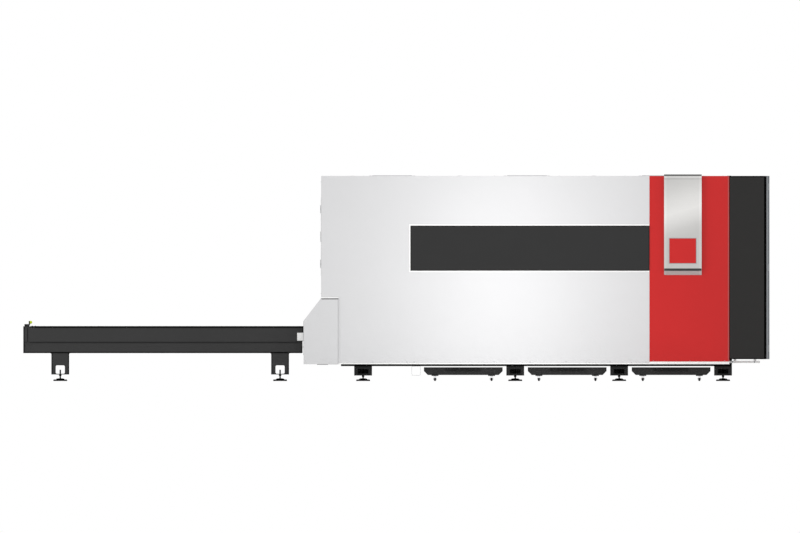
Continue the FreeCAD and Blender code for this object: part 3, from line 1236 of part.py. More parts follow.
def tunnel_hood():
    """The white hood over the pallet tunnel: cheeks, face, slope, floor and docking lugs."""
    outline = [(X_HOOD, HOOD_BOTTOM), (X_HOOD, HOOD_FACE_TOP), (X_WALL, HOOD_TOP),
               (X_WALL + HOOD_LAP, HOOD_TOP), (X_WALL + HOOD_LAP, HOOD_BOTTOM)]
    pieces = []
    for side in SIDES:
        y0, y1 = sorted((side * HALF_WIDTH, side * (HALF_WIDTH + HOOD_SHEET)))
        pieces.append(prism_y(outline, y0, y1))
        pieces.append(side_block(side, X_WALL - 45, X_WALL + 76, HALF_WIDTH, HALF_WIDTH + HOOD_SHEET,
                                 HOOD_BOTTOM - 7, HOOD_BOTTOM))
    face = block(X_HOOD, X_HOOD + HOOD_PLATE, -HALF_WIDTH, HALF_WIDTH, HOOD_BOTTOM, HOOD_FACE_TOP)
    mouth = WEB_OUT + TUNNEL_U
    pieces.append(face.cut(block(X_HOOD, X_HOOD + HOOD_PLATE, -mouth, mouth, HOOD_MOUTH[0], HOOD_MOUTH[1])))
    pieces.append(block(X_HOOD, X_WALL, -HALF_WIDTH, HALF_WIDTH, HOOD_BOTTOM, HOOD_BOTTOM + HOOD_PLATE))
    drop = HOOD_PLATE * math.hypot(HOOD_DEPTH, HOOD_TOP - HOOD_FACE_TOP) / HOOD_DEPTH
    slope = [(X_HOOD, HOOD_FACE_TOP), (X_WALL, HOOD_TOP), (X_WALL, HOOD_TOP - drop),
             (X_HOOD, HOOD_FACE_TOP - drop)]
    pieces.append(prism_y(slope, -HALF_WIDTH, HALF_WIDTH))
    for side in SIDES:
        pieces.append(side_block(side, X_STATION_END - 59, X_HOOD + HOOD_PLATE, mouth, mouth + 12,
                                 WEB_SPLIT_Z + 15, WEB_SPLIT_Z + 102))
    return [fused(pieces)]


def lift_door():
    """The guard that drops behind the tunnel opening, clear of the slats."""
    x = X_WALL + PANEL_DEPTH + RUN_GAP
    half = WEB_OUT + TUNNEL_U + 10
    return [block(x, x + LIFT_DOOR_THICK, -half, half, LIFT_DOOR_Z[0], LIFT_DOOR_Z[1])]


def roof_panels():
    """Folded roof panels between the end wall and the end bay."""
    x0 = X_WALL + PANEL_DEPTH
    length = (X_BAY - x0) / ROOF_COUNT
    return [pan([x0 + i * length, -PANEL_IN, PANEL_TOP_Z - PANEL_DEPTH],
                [x0 + (i + 1) * length, PANEL_IN, PANEL_TOP_Z], 2, -1) for i in range(ROOF_COUNT)]


def sill_frame():
    """The frame that the wall panels stand on, and the arms that carry the end bay."""
    inner = BEAM_OUT + 25
    outer = HALF_WIDTH - 3
    solids = []
    for side in SIDES:
        solids.append(side_block(side, X_WALL, X_BAY, inner, outer, BED_Z, SILL_TOP_Z))
        solids.append(side_block(side, X_RED, X_BAY, inner, outer, SILL_TOP_Z, SILL_TOP_Z + RED_RISER))
        solids.append(side_block(side, X_BAY - 100, X_BAY_END - 64, BEAM_OUT, BEAM_OUT + BAY_ARM,
                                 SILL_TOP_Z, BAY_ARM_TOP))
        for x in (X_BAY + 48, X_BAY + 268):
            solids.append(side_block(side, x, x + 30, BEAM_OUT, BEAM_OUT + BAY_ARM,
                                     BAY_ARM_TOP, BAY_BOTTOM_Z))
    solids.append(block(X_WALL, X_WALL + PANEL_DEPTH, -inner, inner, BED_Z, SILL_TOP_Z))
    return solids


def end_bay_shell():
    """The dark bay round the operator's end: two walls, a roof and a floor."""
    near = side_pan(NEAR, X_BAY, X_BAY_END, BAY_BOTTOM_Z, PANEL_TOP_Z)
    far = side_pan(FAR, X_BAY, X_BAY_END, BAY_BOTTOM_Z, PANEL_TOP_Z)
    cable_x = (X_BAY + X_BAY_END) / 2
    boss = side_rod(FAR, cable_x, CABLE_Z, CABLE_BOSS_R, HALF_WIDTH - SKIN, HALF_WIDTH + CABLE_BOSS)
    bore = side_rod(FAR, cable_x, CABLE_Z, CABLE_BORE_R, HALF_WIDTH - SKIN, HALF_WIDTH + CABLE_BOSS)
    far = fused([far, boss]).cut(bore)
    roof = pan([X_BAY, -PANEL_IN, PANEL_TOP_Z - PANEL_DEPTH], [X_BAY_END, PANEL_IN, PANEL_TOP_Z], 2, -1)
    floor = pan([BED_X1 + 4, -PANEL_IN, BAY_BOTTOM_Z],
                [X_BAY_END, PANEL_IN, BAY_BOTTOM_Z + PANEL_DEPTH], 2, -1)
    return [near, far, roof, floor]


def end_door(side):
    """One leaf of the operator's double door."""
    y0, y1 = sorted((side * PANEL_GAP, side * HALF_WIDTH))
    leaf = pan([X_DOOR, y0, BAY_BOTTOM_Z], [X_END, y1, PANEL_TOP_Z], 0, -1)
    u0, u1 = DOOR_WINDOW_U
    z0, z1 = DOOR_WINDOW_Z
    leaf = leaf.cut(side_block(side, X_END - SKIN, X_END, u0, u1, z0, z1))
    pull_u0, pull_u1 = PULL_U
    pull_z0, pull_z1 = PULL_Z
    cup = side_block(side, X_END - PULL_DEPTH, X_END, pull_u0, pull_u1, pull_z0, pull_z1)
    hollow = side_block(side, X_END - PULL_DEPTH + SKIN, X_END, pull_u0 + SKIN, pull_u1 - SKIN,
                        pull_z0 + SKIN, pull_z1 - SKIN)
    pieces = [leaf, cup]
    lug_x = (HINGE_X - HINGE_R, X_END)
    lug_u = (HINGE_U - HINGE_R, HALF_WIDTH)
    lug_half = DOOR_HINGE_HALF + HINGE_PIN_REACH + 5
    for height in DOOR_HINGE_Z:
        z = BAY_BOTTOM_Z + height
        pieces.append(side_block(side, lug_x[0], lug_x[1], lug_u[0], lug_u[1], z - lug_half, z + lug_half))
    leaf = fused(pieces).cut(hollow)
    for height in DOOR_HINGE_Z:
        z = BAY_BOTTOM_Z + height
        leaf = leaf.cut(side_block(side, X_DOOR, X_END, HINGE_U - 40, HALF_WIDTH,
                                   z - DOOR_HINGE_HALF, z + DOOR_HINGE_HALF))
        reach = DOOR_HINGE_HALF + HINGE_PIN_REACH + 2
        leaf = leaf.cut(rod(V(HINGE_X, side * HINGE_U, z - reach), Z_AXIS,
                            HINGE_PIN_R + BEARING_GAP, 2 * reach))
    return [leaf]


def door_window(side):
    """The pane behind a door leaf's aperture."""
    u0, u1 = DOOR_WINDOW_U
    z0, z1 = DOOR_WINDOW_Z
    lap = DOOR_GLASS_LAP
    return [side_block(side, X_END - SKIN - DOOR_GLASS, X_END - SKIN, u0 - lap, u1 + lap, z0 - lap, z1 + lap)]


def door_hinges():
    """Three fixed knuckles with their pins for each door leaf, on the bay's end."""
    solids = []
    half = DOOR_HINGE_HALF - 0.5
    for side in SIDES:
        for height in DOOR_HINGE_Z:
            z = BAY_BOTTOM_Z + height
            barrel = rod(V(HINGE_X, side * HINGE_U, z - half), Z_AXIS, HINGE_R, 2 * half)
            strap = side_block(side, X_BAY_END, HINGE_X, HINGE_U - HINGE_R, HINGE_U + HINGE_R,
                               z - half, z + half)
            reach = half + HINGE_PIN_REACH
            pin = rod(V(HINGE_X, side * HINGE_U, z - reach), Z_AXIS, HINGE_PIN_R, 2 * reach)
            solids.append(fused([barrel, strap, pin]))
    return solids


def bay_cabinet(side, top):
    """A closed cabinet on the bay's floor, beside the operator's opening."""
    u1 = PANEL_IN - CABINET_SIDE
    return [side_block(side, X_BAY + CABINET_SETBACK, X_BAY_END - CABINET_GAP, u1 - CABINET_WIDTH, u1,
                       BAY_BOTTOM_Z + PANEL_DEPTH, top)]


# ================================================================ all nodes
def all_nodes():
    nodes = {
        "bed_frame": bed_frame(),
        "levelling_feet": levelling_feet(),
        "x_rails": x_rails(),
        "x_racks": x_racks(),
        "pallet_tracks": pallet_tracks(),
        "scrap_chutes": scrap_chutes(),
        "lifting_tube": lifting_tube(),
        "exchange_frame": exchange_frame(),
        "exchange_motor": exchange_motor(),
        "exchange_shaft": exchange_shaft(),
        "exchange_chains": exchange_chains(),
        "pallet_sensor": pallet_sensor(),
        "gantry_beam": gantry_beam(),
        "gantry_rails": gantry_rails(),
        "x_motors": x_motors(),
        "near_x_pinion": x_pinion(NEAR),
        "far_x_pinion": x_pinion(FAR),
        "y_carriage": y_carriage(),
        "y_motor": y_motor(),
        "y_pinion": y_pinion(),
        "z_slide": z_slide(),
        "cutting_head": cutting_head(),
        "nozzle": nozzle(),
        "near_side_panel": near_side_panel(),
        "near_window": near_window(),
        "far_side_panel": far_side_panel(),
        "red_panels": red_panels(),
        "steel_band": steel_band(),
        "badge_plate": badge_plate(),
        "end_wall": end_wall(),
        "service_hatch": service_hatch(),
        "tunnel_hood": tunnel_hood(),
        "lift_door": lift_door(),
        "roof_panels": roof_panels(),
        "sill_frame": sill_frame(),
        "end_bay_shell": end_bay_shell(),
        "near_door": end_door(NEAR),
        "far_door": end_door(FAR),
        "near_door_window": door_window(NEAR),
        "far_door_window": door_window(FAR),
        "door_hinges": door_hinges(),
        "electrical_cabinet": bay_cabinet(NEAR, ELECTRICAL_TOP),
        "laser_source": bay_cabinet(FAR, LASER_TOP),
    }
    for name, x0, wheel_z in (("upper_pallet", UPPER_PALLET_X, UPPER_WHEEL_Z),
                              ("lower_pallet", LOWER_PALLET_X, LOWER_WHEEL_Z)):
        nodes[name + "_frame"] = pallet_frame(x0, wheel_z)
        nodes[name + "_slats"] = pallet_slats(x0, wheel_z)
        nodes[name + "_rear_wheels"] = pallet_wheels(x0 + WHEEL_INSET, wheel_z)
        nodes[name + "_front_wheels"] = pallet_wheels(x0 + PALLET_LENGTH - WHEEL_INSET, wheel_z)
    front_y, rear_y = caster_rows()
    for number, x in enumerate(TRAY_X, start=1):
        nodes["tray_%d" % number] = scrap_tray(x)
        nodes["tray_%d_front_wheels" % number] = caster_wheels(x, front_y)
        nodes["tray_%d_rear_wheels" % number] = caster_wheels(x, rear_y)
    return nodes


os.makedirs("parts", exist_ok=True)
for node, solids in all_nodes().items():
    shape = solids[0] if len(solids) == 1 else Part.makeCompound(solids)
    shape.exportStep("parts/" + node + ".step")
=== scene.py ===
import math

import bmesh
import bpy
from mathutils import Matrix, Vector


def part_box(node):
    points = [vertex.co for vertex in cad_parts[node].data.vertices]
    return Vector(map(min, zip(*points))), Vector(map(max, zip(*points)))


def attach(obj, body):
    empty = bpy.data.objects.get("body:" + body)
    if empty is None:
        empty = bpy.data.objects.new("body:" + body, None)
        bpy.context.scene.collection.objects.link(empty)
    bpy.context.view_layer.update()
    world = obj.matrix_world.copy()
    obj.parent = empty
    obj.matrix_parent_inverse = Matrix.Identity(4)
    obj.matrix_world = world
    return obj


# Fiber laser cutting machine: finishes, fasteners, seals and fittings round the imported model.
# Shapes are written in millimetres, in the model's own frame, and turned to metres in one
# place, Shape.piece(). +X runs to the operator's doors, the near side faces -Y, +Z is up.

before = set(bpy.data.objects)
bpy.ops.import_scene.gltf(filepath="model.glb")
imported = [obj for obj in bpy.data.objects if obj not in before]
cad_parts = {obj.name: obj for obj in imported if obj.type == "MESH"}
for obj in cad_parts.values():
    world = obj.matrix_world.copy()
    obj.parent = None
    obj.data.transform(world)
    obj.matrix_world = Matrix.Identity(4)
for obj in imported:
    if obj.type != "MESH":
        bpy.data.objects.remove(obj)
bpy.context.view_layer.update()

MM = 0.001
NEAR, FAR = -1, 1
SIDES = (NEAR, FAR)
SIDE_NAME = {NEAR: "near", FAR: "far"}


def span(node):
    """Lowest and highest corner of a CAD node at rest, in millimetres."""
    low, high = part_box(node)
    return low / MM, high / MM


# ---------------------------------------------------------------- camera and light
CAMERA_WIDTH = 8.8
CAMERA_CENTRE = (0.040, -14.0, 1.2595)
scene = bpy.context.scene
camera = bpy.data.objects.new("camera", bpy.data.cameras.new("camera"))
camera.data.type = "ORTHO"
camera.data.ortho_scale = CAMERA_WIDTH
camera.location = CAMERA_CENTRE
camera.rotation_euler = (math.radians(90), 0, 0)
scene.collection.objects.link(camera)
scene.camera = camera
scene.view_settings.view_transform = "Standard"


def soft_light(name, place, aim, width, height, watts):
    """A soft box that lights the machine and stays out of sight."""
    data = bpy.data.lights.new(name, "AREA")
    data.shape = "RECTANGLE"
    data.size, data.size_y = width, height
    data.energy = watts
    light = bpy.data.objects.new(name, data)
    light.location = place
    light.rotation_mode = "QUATERNION"
    light.rotation_quaternion = (Vector(aim) - Vector(place)).to_track_quat("-Z", "Y")
    light.visible_camera = False
    light.visible_glossy = False
    scene.collection.objects.link(light)


soft_light("wall_strip", (1.15, -2.9, 1.25), (1.15, -1.2, 1.25), 1.0, 2.6, 20.0)
soft_light("left_fill", (-6.5, 0.2, 2.6), (-1.0, 0.2, 1.0), 2.0, 2.0, 60.0)
soft_light("right_fill", (7.5, 0.4, 2.8), (4.1, 0.2, 1.2), 2.0, 2.0, 30.0)


# ---------------------------------------------------------------- shapes
class Shape:
    """A mesh under construction, in millimetres."""

    def __init__(self):
        self.bm = bmesh.new()

    def ring(self, points):
        return [self.bm.verts.new(p) for p in points]

    def skin(self, rings, closed=False):
        """Faces between neighbouring rings; a ring of one point is an apex."""
        pairs = list(zip(rings, rings[1:] + rings[:1])) if closed else list(zip(rings, rings[1:]))
        for a, b in pairs:
            count = max(len(a), len(b))
            for i in range(count):
                j = (i + 1) % count
                corners = [a[i % len(a)], a[j % len(a)], b[j % len(b)], b[i % len(b)]]
                unique = list(dict.fromkeys(corners))
                if len(unique) > 2:
                    self.bm.faces.new(unique)

    def prism(self, outline, axis, start, end):
        """A straight extrusion of an outline in the plane across an axis."""
        a = self.ring([at(axis, p, q, start) for p, q in outline])
        b = self.ring([at(axis, p, q, end) for p, q in outline])
        self.skin([a, b])
        self.bm.faces.new(a)
        self.bm.faces.new(b)

    def block(self, low, high):
        self.prism([(low[0], low[1]), (high[0], low[1]), (high[0], high[1]), (low[0], high[1])],
                   2, low[2], high[2])

    def side_block(self, side, x0, x1, u0, u1, z0, z1):
        """A block at u0..u1 from the centre plane, on one side."""
        y0, y1 = sorted((side * u0, side * u1))
        self.block((x0, y0, z0), (x1, y1, z1))

    def frame(self, outer, inner, axis, start, end):
        """A flat rectangular ring; outer and inner are (a0, b0, a1, b1)."""
        loops = []
        for (a0, b0, a1, b1), s in ((outer, start), (outer, end), (inner, end), (inner, start)):
            corners = ((a0, b0), (a1, b0), (a1, b1), (a0, b1))
            loops.append(self.ring([at(axis, a, b, s) for a, b in corners]))
        self.skin(loops, closed=True)

    def turned(self, centre, axis, profile, steps=20, closed=False):
        """Revolves (radius, distance along the axis) points about an axis."""
        rings = []
        for r, s in profile:
            turns = 1 if r == 0 else steps
            points = []
            for i in range(turns):
                angle = math.tau * i / steps
                points.append(Vector(centre) + at(axis, r * math.cos(angle), r * math.sin(angle), s))
            rings.append(self.ring(points))
        self.skin(rings, closed)

    def screw(self, centre, axis, way, radius):
        """A button-head screw with a socket; way is +1 or -1 along the axis."""
        h = radius * 0.6
        profile = [(0, 0.3 * h), (0.48 * radius, 0.3 * h), (0.52 * radius, h), (0.8 * radius, h),
                   (0.96 * radius, 0.55 * h), (radius, 0.15 * h), (radius, 0), (0, 0)]
        self.turned(centre, axis, [(r, way * s) for r, s in profile], 12)

    def bolt(self, centre, axis, way, radius):
        """A hexagon head with a chamfered top on a washer."""
        h = radius * 0.7
        washer = [(0, 0), (1.25 * radius, 0), (1.25 * radius, 0.16 * h), (0, 0.16 * h)]
        head = [(0, 0.16 * h), (radius, 0.16 * h), (radius, 0.9 * h), (0.86 * radius, h), (0, h)]
        self.turned(centre, axis, [(r, way * s) for r, s in washer], 20)
        self.turned(centre, axis, [(r, way * s) for r, s in head], 6)

    def louvres(self, x0, x1, z0, z1, face, count, lift):
        """Pressed louvres on a face that looks to the far side: slanted hoods over slots."""
        pitch = (z1 - z0) / count
        for i in range(count):
            foot = z0 + i * pitch
            top = foot + 0.72 * pitch
            hood = [(face, foot), (face + lift, foot), (face + lift, foot + 1.5), (face, top)]
            self.prism(hood, 0, x0, x1)

    def piece(self, name, body, slot, finish, bevel=0.0, segments=2):
        """Turns the mesh into a piece in metres that rides on a body."""
        bmesh.ops.recalc_face_normals(self.bm, faces=self.bm.faces[:])
        bmesh.ops.scale(self.bm, vec=(MM, MM, MM), verts=self.bm.verts[:])
        mesh = bpy.data.meshes.new(name)
        self.bm.to_mesh(mesh)
        self.bm.free()
        mesh.materials.append(finish)
        mesh.shade_smooth()
        mesh.set_sharp_from_angle(angle=math.radians(38))
        made = bpy.data.objects.new(name, mesh)
        scene.collection.objects.link(made)
        if bevel:
            soften(made, bevel, segments)
        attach(made, body)
        return made


def at(axis, a, b, s):
    """A point from its two coordinates across an axis, in X, Y, Z order, and its place along it."""
    return Vector(((s, a, b), (a, s, b), (a, b, s))[axis])


def soften(made, width, segments=2, angle=38):
    """Rounds an object's sharp edges by a width in millimetres."""
    bevel = made.modifiers.new("rounded_edges", "BEVEL")
    bevel.width = width * MM
    bevel.segments = segments
    bevel.limit_method = "ANGLE"
    bevel.angle_limit = math.radians(angle)
    bevel.use_clamp_overlap = True
    bevel.harden_normals = True


# ---------------------------------------------------------------- material tools
def linear(code):
    """An sRGB hex value as linear RGBA."""
    parts = [int(code[i:i + 2], 16) / 255 for i in (1, 3, 5)]
    return [p / 12.92 if p <= 0.04045 else ((p + 0.055) / 1.055) ** 2.4 for p in parts] + [1.0]


def add(tree, kind, settings=None, inputs=None):
    """Adds a node with its settings, and sets or links its inputs."""
    node = tree.nodes.new("ShaderNode" + kind)
    for key, value in (settings or {}).items():
        if key == "stops":
            stops = node.color_ramp.elements
            stops[0].position, stops[0].color = value[0]
            stops[1].position, stops[1].color = value[-1]
            for place, colour in value[1:-1]:
                stops.new(place).color = colour
        else:
            setattr(node, key, value)
    for key, value in (inputs or {}).items():
        if isinstance(value, bpy.types.NodeSocket):
            tree.links.new(value, node.inputs[key])
        else:
            node.inputs[key].default_value = value
    return node


def start(name, **surface):
    """A material with its constant values set on the shader's own sockets."""
    made = bpy.data.materials.new(name)
    made.use_nodes = True
    tree = made.node_tree
    shader = tree.nodes["Principled BSDF"]
    for key, value in surface.items():
        shader.inputs[key.replace("_", " ")].default_value = value
    return made, tree, shader


def scale_for(size_mm):
    """A noise scale whose features are about this many millimetres across."""
    return 1000.0 / size_mm


def painted(name, colour, peel_mm=3.0, roughness=0.42, specular=0.5, drift=0.04,
            edge_mm=0.0, edge_tone=0.6, bump=0.06, zones=None):
    """Sprayed and baked coating on steel.

    A slow cloud changes its tone by a share, drift. Orange peel of peel_mm breaks up the
    gloss. Near edges, up to edge_mm away, the colour is darkened towards edge_tone: painted
    shade. zones is an optional list of (axis, place in mm, tone above it, tone below it).
    """
    made, tree, shader = start(name, Specular_IOR_Level=specular)
    spot = add(tree, "TexCoord").outputs["Object"]
    cloud = add(tree, "TexNoise", {}, {"Vector": spot, "Scale": scale_for(650), "Detail": 4.0,
                                       "Roughness": 0.55})
    peel = add(tree, "TexNoise", {}, {"Vector": spot, "Scale": scale_for(peel_mm), "Detail": 2.0,
                                      "Roughness": 0.45})
    tone = add(tree, "MapRange", {}, {"Value": cloud.outputs[0], "From Min": 0.3, "From Max": 0.7,
                                      "To Min": 1.0 - drift, "To Max": 1.0})
    level = tone.outputs[0]
    # Painted shade: near an edge the Bevel node's rounded normal turns from the face, and the colour
    # darkens.
    if edge_mm:
        rounded = add(tree, "Bevel", {"samples": 4}, {"Radius": edge_mm * MM})
        true = add(tree, "NewGeometry")
        facing = add(tree, "VectorMath", {"operation": "DOT_PRODUCT"},
                     {0: rounded.outputs[0], 1: true.outputs["True Normal"]})
        edge_shade = add(tree, "MapRange", {}, {"Value": facing.outputs["Value"], "From Min": 0.80,
                                          "From Max": 0.99, "To Min": edge_tone, "To Max": 1.0})
        level = add(tree, "Math", {"operation": "MULTIPLY"}, {0: level, 1: edge_shade.outputs[0]}).outputs[0]
    parts = add(tree, "SeparateXYZ", {}, {0: spot}) if zones else None
    for axis, place, above, below in zones or ():
        step = add(tree, "MapRange", {}, {"Value": parts.outputs[axis], "From Min": place * MM - 0.001,
                                          "From Max": place * MM + 0.001, "To Min": below, "To Max": above})
        level = add(tree, "Math", {"operation": "MULTIPLY"}, {0: level, 1: step.outputs[0]}).outputs[0]
    shade = add(tree, "VectorMath", {"operation": "SCALE"}, {0: linear(colour)[:3], "Scale": level})
    gloss = add(tree, "MapRange", {}, {"Value": peel.outputs[0], "To Min": roughness - 0.05,
                                       "To Max": roughness + 0.07})
    relief = add(tree, "Bump", {}, {"Strength": bump, "Distance": 0.0004, "Height": peel.outputs[0]})
    tree.links.new(shade.outputs[0], shader.inputs["Base Color"])
    tree.links.new(gloss.outputs[0], shader.inputs["Roughness"])
    tree.links.new(relief.outputs[0], shader.inputs["Normal"])
    return made


def worked_metal(name, colour, streak_mm=(60.0, 60.0, 0.8), roughness=0.3, drift=0.12, grime=0.0,
                 anisotropic=0.0, second=None):
    """Bare metal with the marks of its last tool.

    streak_mm is how long the grinding or brushing marks are along X, Y and Z. grime is the
    share by which a slow cloud darkens it, and second is a stain colour in that cloud.
    """
    made, tree, shader = start(name, Metallic=1.0, Anisotropic=anisotropic)
    spot = add(tree, "TexCoord").outputs["Object"]
    stretch = add(tree, "Mapping", {}, {"Vector": spot, "Scale": [scale_for(v) for v in streak_mm]})
    marks = add(tree, "TexNoise", {}, {"Vector": stretch.outputs[0], "Scale": 1.0, "Detail": 4.0,
                                       "Roughness": 0.6})
    cloud = add(tree, "TexNoise", {}, {"Vector": spot, "Scale": scale_for(180), "Detail": 5.0,
                                       "Roughness": 0.6})
    tone = add(tree, "MapRange", {}, {"Value": marks.outputs[0], "From Min": 0.3, "From Max": 0.7,
                                      "To Min": 1.0 - drift, "To Max": 1.0})
    shade = add(tree, "VectorMath", {"operation": "SCALE"}, {0: linear(colour)[:3],
                                                            "Scale": tone.outputs[0]})
    stain = add(tree, "MapRange", {}, {"Value": cloud.outputs[0], "From Min": 0.45, "From Max": 0.75,
                                       "To Min": 0.0, "To Max": grime})
    mixed = add(tree, "Mix", {"data_type": "RGBA"}, {0: stain.outputs[0], 6: shade.outputs[0],
                                                    7: linear(second or "#2a2723")})
    gloss = add(tree, "MapRange", {}, {"Value": marks.outputs[0], "To Min": roughness - 0.08,
                                       "To Max": roughness + 0.12})
    relief = add(tree, "Bump", {}, {"Strength": 0.12, "Distance": 0.0002, "Height": marks.outputs[0]})
    tree.links.new(mixed.outputs[2], shader.inputs["Base Color"])
    tree.links.new(gloss.outputs[0], shader.inputs["Roughness"])
    tree.links.new(relief.outputs[0], shader.inputs["Normal"])
    return made


def moulded(name, colour, grain_mm=1.2, roughness=0.55, specular=0.5, bump=0.15, drift=0.1):
    """Moulded rubber or plastic with a fine matt grain and dust-dulled patches."""
    made, tree, shader = start(name, Specular_IOR_Level=specular)
    spot = add(tree, "TexCoord").outputs["Object"]
    grain = add(tree, "TexVoronoi", {}, {"Vector": spot, "Scale": scale_for(grain_mm)})
    dust = add(tree, "TexNoise", {}, {"Vector": spot, "Scale": scale_for(90), "Detail": 4.0})
    tone = add(tree, "MapRange", {}, {"Value": dust.outputs[0], "From Min": 0.3, "From Max": 0.7,
                                      "To Min": 1.0 - drift, "To Max": 1.0 + drift})
    shade = add(tree, "VectorMath", {"operation": "SCALE"}, {0: linear(colour)[:3],
                                                            "Scale": tone.outputs[0]})
    gloss = add(tree, "MapRange", {}, {"Value": dust.outputs[0], "To Min": roughness - 0.08,
                                       "To Max": roughness + 0.12})
    relief = add(tree, "Bump", {}, {"Strength": bump, "Distance": 0.0002, "Height": grain.outputs[0]})
    tree.links.new(shade.outputs[0], shader.inputs["Base Color"])
    tree.links.new(gloss.outputs[0], shader.inputs["Roughness"])
    tree.links.new(relief.outputs[0], shader.inputs["Normal"])
    return made


# ---------------------------------------------------------------- finishes
# Polyester powder coat on folded sheet: an even off-white with faint orange peel.
WHITE_COAT = painted("white_powder_coat", "#d5d5d6", 3.0, 0.40, 0.5, 0.012, bump=0.05)
# The hood is coated in a second batch, a touch greyer.
# Its zones paint shade as a darker strip along the hood's right edge, and darken it below 185.5 mm.
HOOD_COAT = painted("hood_powder_coat", "#d3d3d4", 3.0, 0.45, 0.5, 0.012, bump=0.05,
                    zones=[(0, span("tunnel_hood")[1].x - 10, 0.80, 1.0), (2, 185.5, 1.0, 0.35)])
# The sill is gloss white, wiped clean with every floor wash.
SILL_COAT = painted("gloss_white_sill", "#fbfbfa", 2.0, 0.30, 0.5, 0.01)
# Signal red powder coat, deeper in tone than in gloss.
RED_COAT = painted("signal_red_powder_coat", "#c71f1f", 3.0, 0.38, 0.28, 0.05, bump=0.05)
# Charcoal texture coat on the exchange station: matt, with a sandy grain.
# Its edges are darkened over 24 mm: painted shade.
CHARCOAL_COAT = painted("charcoal_texture_coat", "#313131", 1.6, 0.62, 0.35, 0.10, 24.0, 0.30, 0.20)
# The end bay's finer charcoal coat, a shade darker.
BAY_COAT = painted("bay_charcoal_coat", "#1d1c1b", 1.6, 0.58, 0.35, 0.06, bump=0.15)
# Black machine enamel on the welded bed: brushed on thick, half gloss.
# Its edges are darkened over 20 mm: painted shade.
BED_ENAMEL = painted("black_machine_enamel", "#232323", 12.0, 0.45, 0.18, 0.25, 20.0, 0.15, 0.25)
# Grey machine enamel on machined castings and weldments inside.
# Its edges are darkened over 4 mm: painted shade.
GREY_ENAMEL = painted("grey_machine_enamel", "#83878a", 10.0, 0.45, 0.5, 0.08, 4.0, 0.7, 0.20)
# Light grey stove enamel on the lifting tube.
LIGHT_ENAMEL = painted("light_grey_enamel", "#d9dadb", 6.0, 0.45, 0.5, 0.04)
# Precision-ground rail and gear steel, with an oil film that stains it in clouds.
GROUND_STEEL = worked_metal("oiled_ground_steel", "#9a9c9f", (90, 90, 0.9), 0.26, 0.14, 0.30, 0.3,
                            "#4a4238")
# Clear zinc plate on screws, locks and small pressed parts.
ZINC_PLATE = worked_metal("clear_zinc_plate", "#aab0b4", (14, 14, 14), 0.36, 0.20, 0.20)
# Bright zinc on the castors.
BRIGHT_ZINC = worked_metal("bright_zinc_plate", "#f1f2f3", (14, 14, 14), 0.16, 0.04, 0.02)
# Rolled aluminium corner trim, tinted pink: a painted reflection of the panel's red.
CORNER_TRIM = worked_metal("red_tinted_corner_trim", "#b26665", (2, 2, 200), 0.45, 0.06, 0.03)
# Darker anodised profile on the doors' edges.
DOOR_PROFILE = worked_metal("dark_anodised_profile", "#777b7f", (1.2, 1.2, 140), 0.42, 0.08, 0.05)
# Blackened cap screws.
BLACK_OXIDE = worked_metal("black_oxide_screw", "#26272a", (6, 6, 6), 0.42, 0.20, 0.1)
# Clear anodised aluminium door skin, with a fine upright grain.
DOOR_ALUMINIUM = worked_metal("anodised_door_skin", "#8f9295", (1.2, 1.2, 140), 0.42, 0.10, 0.06, 0.35)
# Natural aluminium castings and turned parts.
CAST_ALUMINIUM = worked_metal("satin_aluminium", "#b4b6b8", (9, 9, 9), 0.38, 0.12, 0.08)
# Turned copper nozzle with a heat-darkened film.
COPPER = worked_metal("turned_copper", "#b8683f", (40, 40, 0.6), 0.28, 0.18, 0.35, 0.4, "#5a2c1c")
# Black hard-anodised cutting head.
HEAD_ANODISED = worked_metal("hard_anodised_head", "#3d4046", (0.8, 0.8, 30), 0.36, 0.10, 0.05, 0.2)
# EPDM seals and edge trims.
RUBBER = moulded("epdm_seal", "#121212", 1.2, 0.62, 0.3)
# Grey sponge-rubber seal along the hood.
GREY_RUBBER = moulded("grey_sponge_seal", "#7d7d7d", 1.5, 0.75, 0.3)
# Ribbed strip in the band's groove, dark as painted shade in the groove.
GROOVE_SHADE_STRIP = moulded("ribbed_groove_shade_strip", "#3a3a3a", 1.2, 0.6, 0.3)
# Edging, skirts and foot pads: soft black rubber, matt. It also makes the black strips
# along the exchange station's edges that are painted shade.
EDGING_AND_SHADE = moulded("matt_black_edging", "#040404", 1.6, 0.85, 0.04)
# White acetal wear pads.
ACETAL = moulded("white_acetal", "#fbfbfa", 1.0, 0.35, 0.5, 0.04, 0.01)
# A bead along the lap of the channels, darker than the coat: painted shade under the step of the lap.
SEAM_SHADE_BEAD = moulded("seam_shade_bead", "#1c1c1c", 3.0, 0.7, 0.3)
# Castor tread: dark polyurethane with road dust.
TREAD = moulded("castor_polyurethane", "#101010", 2.0, 0.75, 0.12, drift=0.25)
# Glass-filled nylon covers, connectors and fan guards.
NYLON = moulded("black_glass_filled_nylon", "#16171a", 0.9, 0.5, 0.4)


def grey(level):
    """A neutral factor for a ramp."""
    return (level, level, level, 1.0)


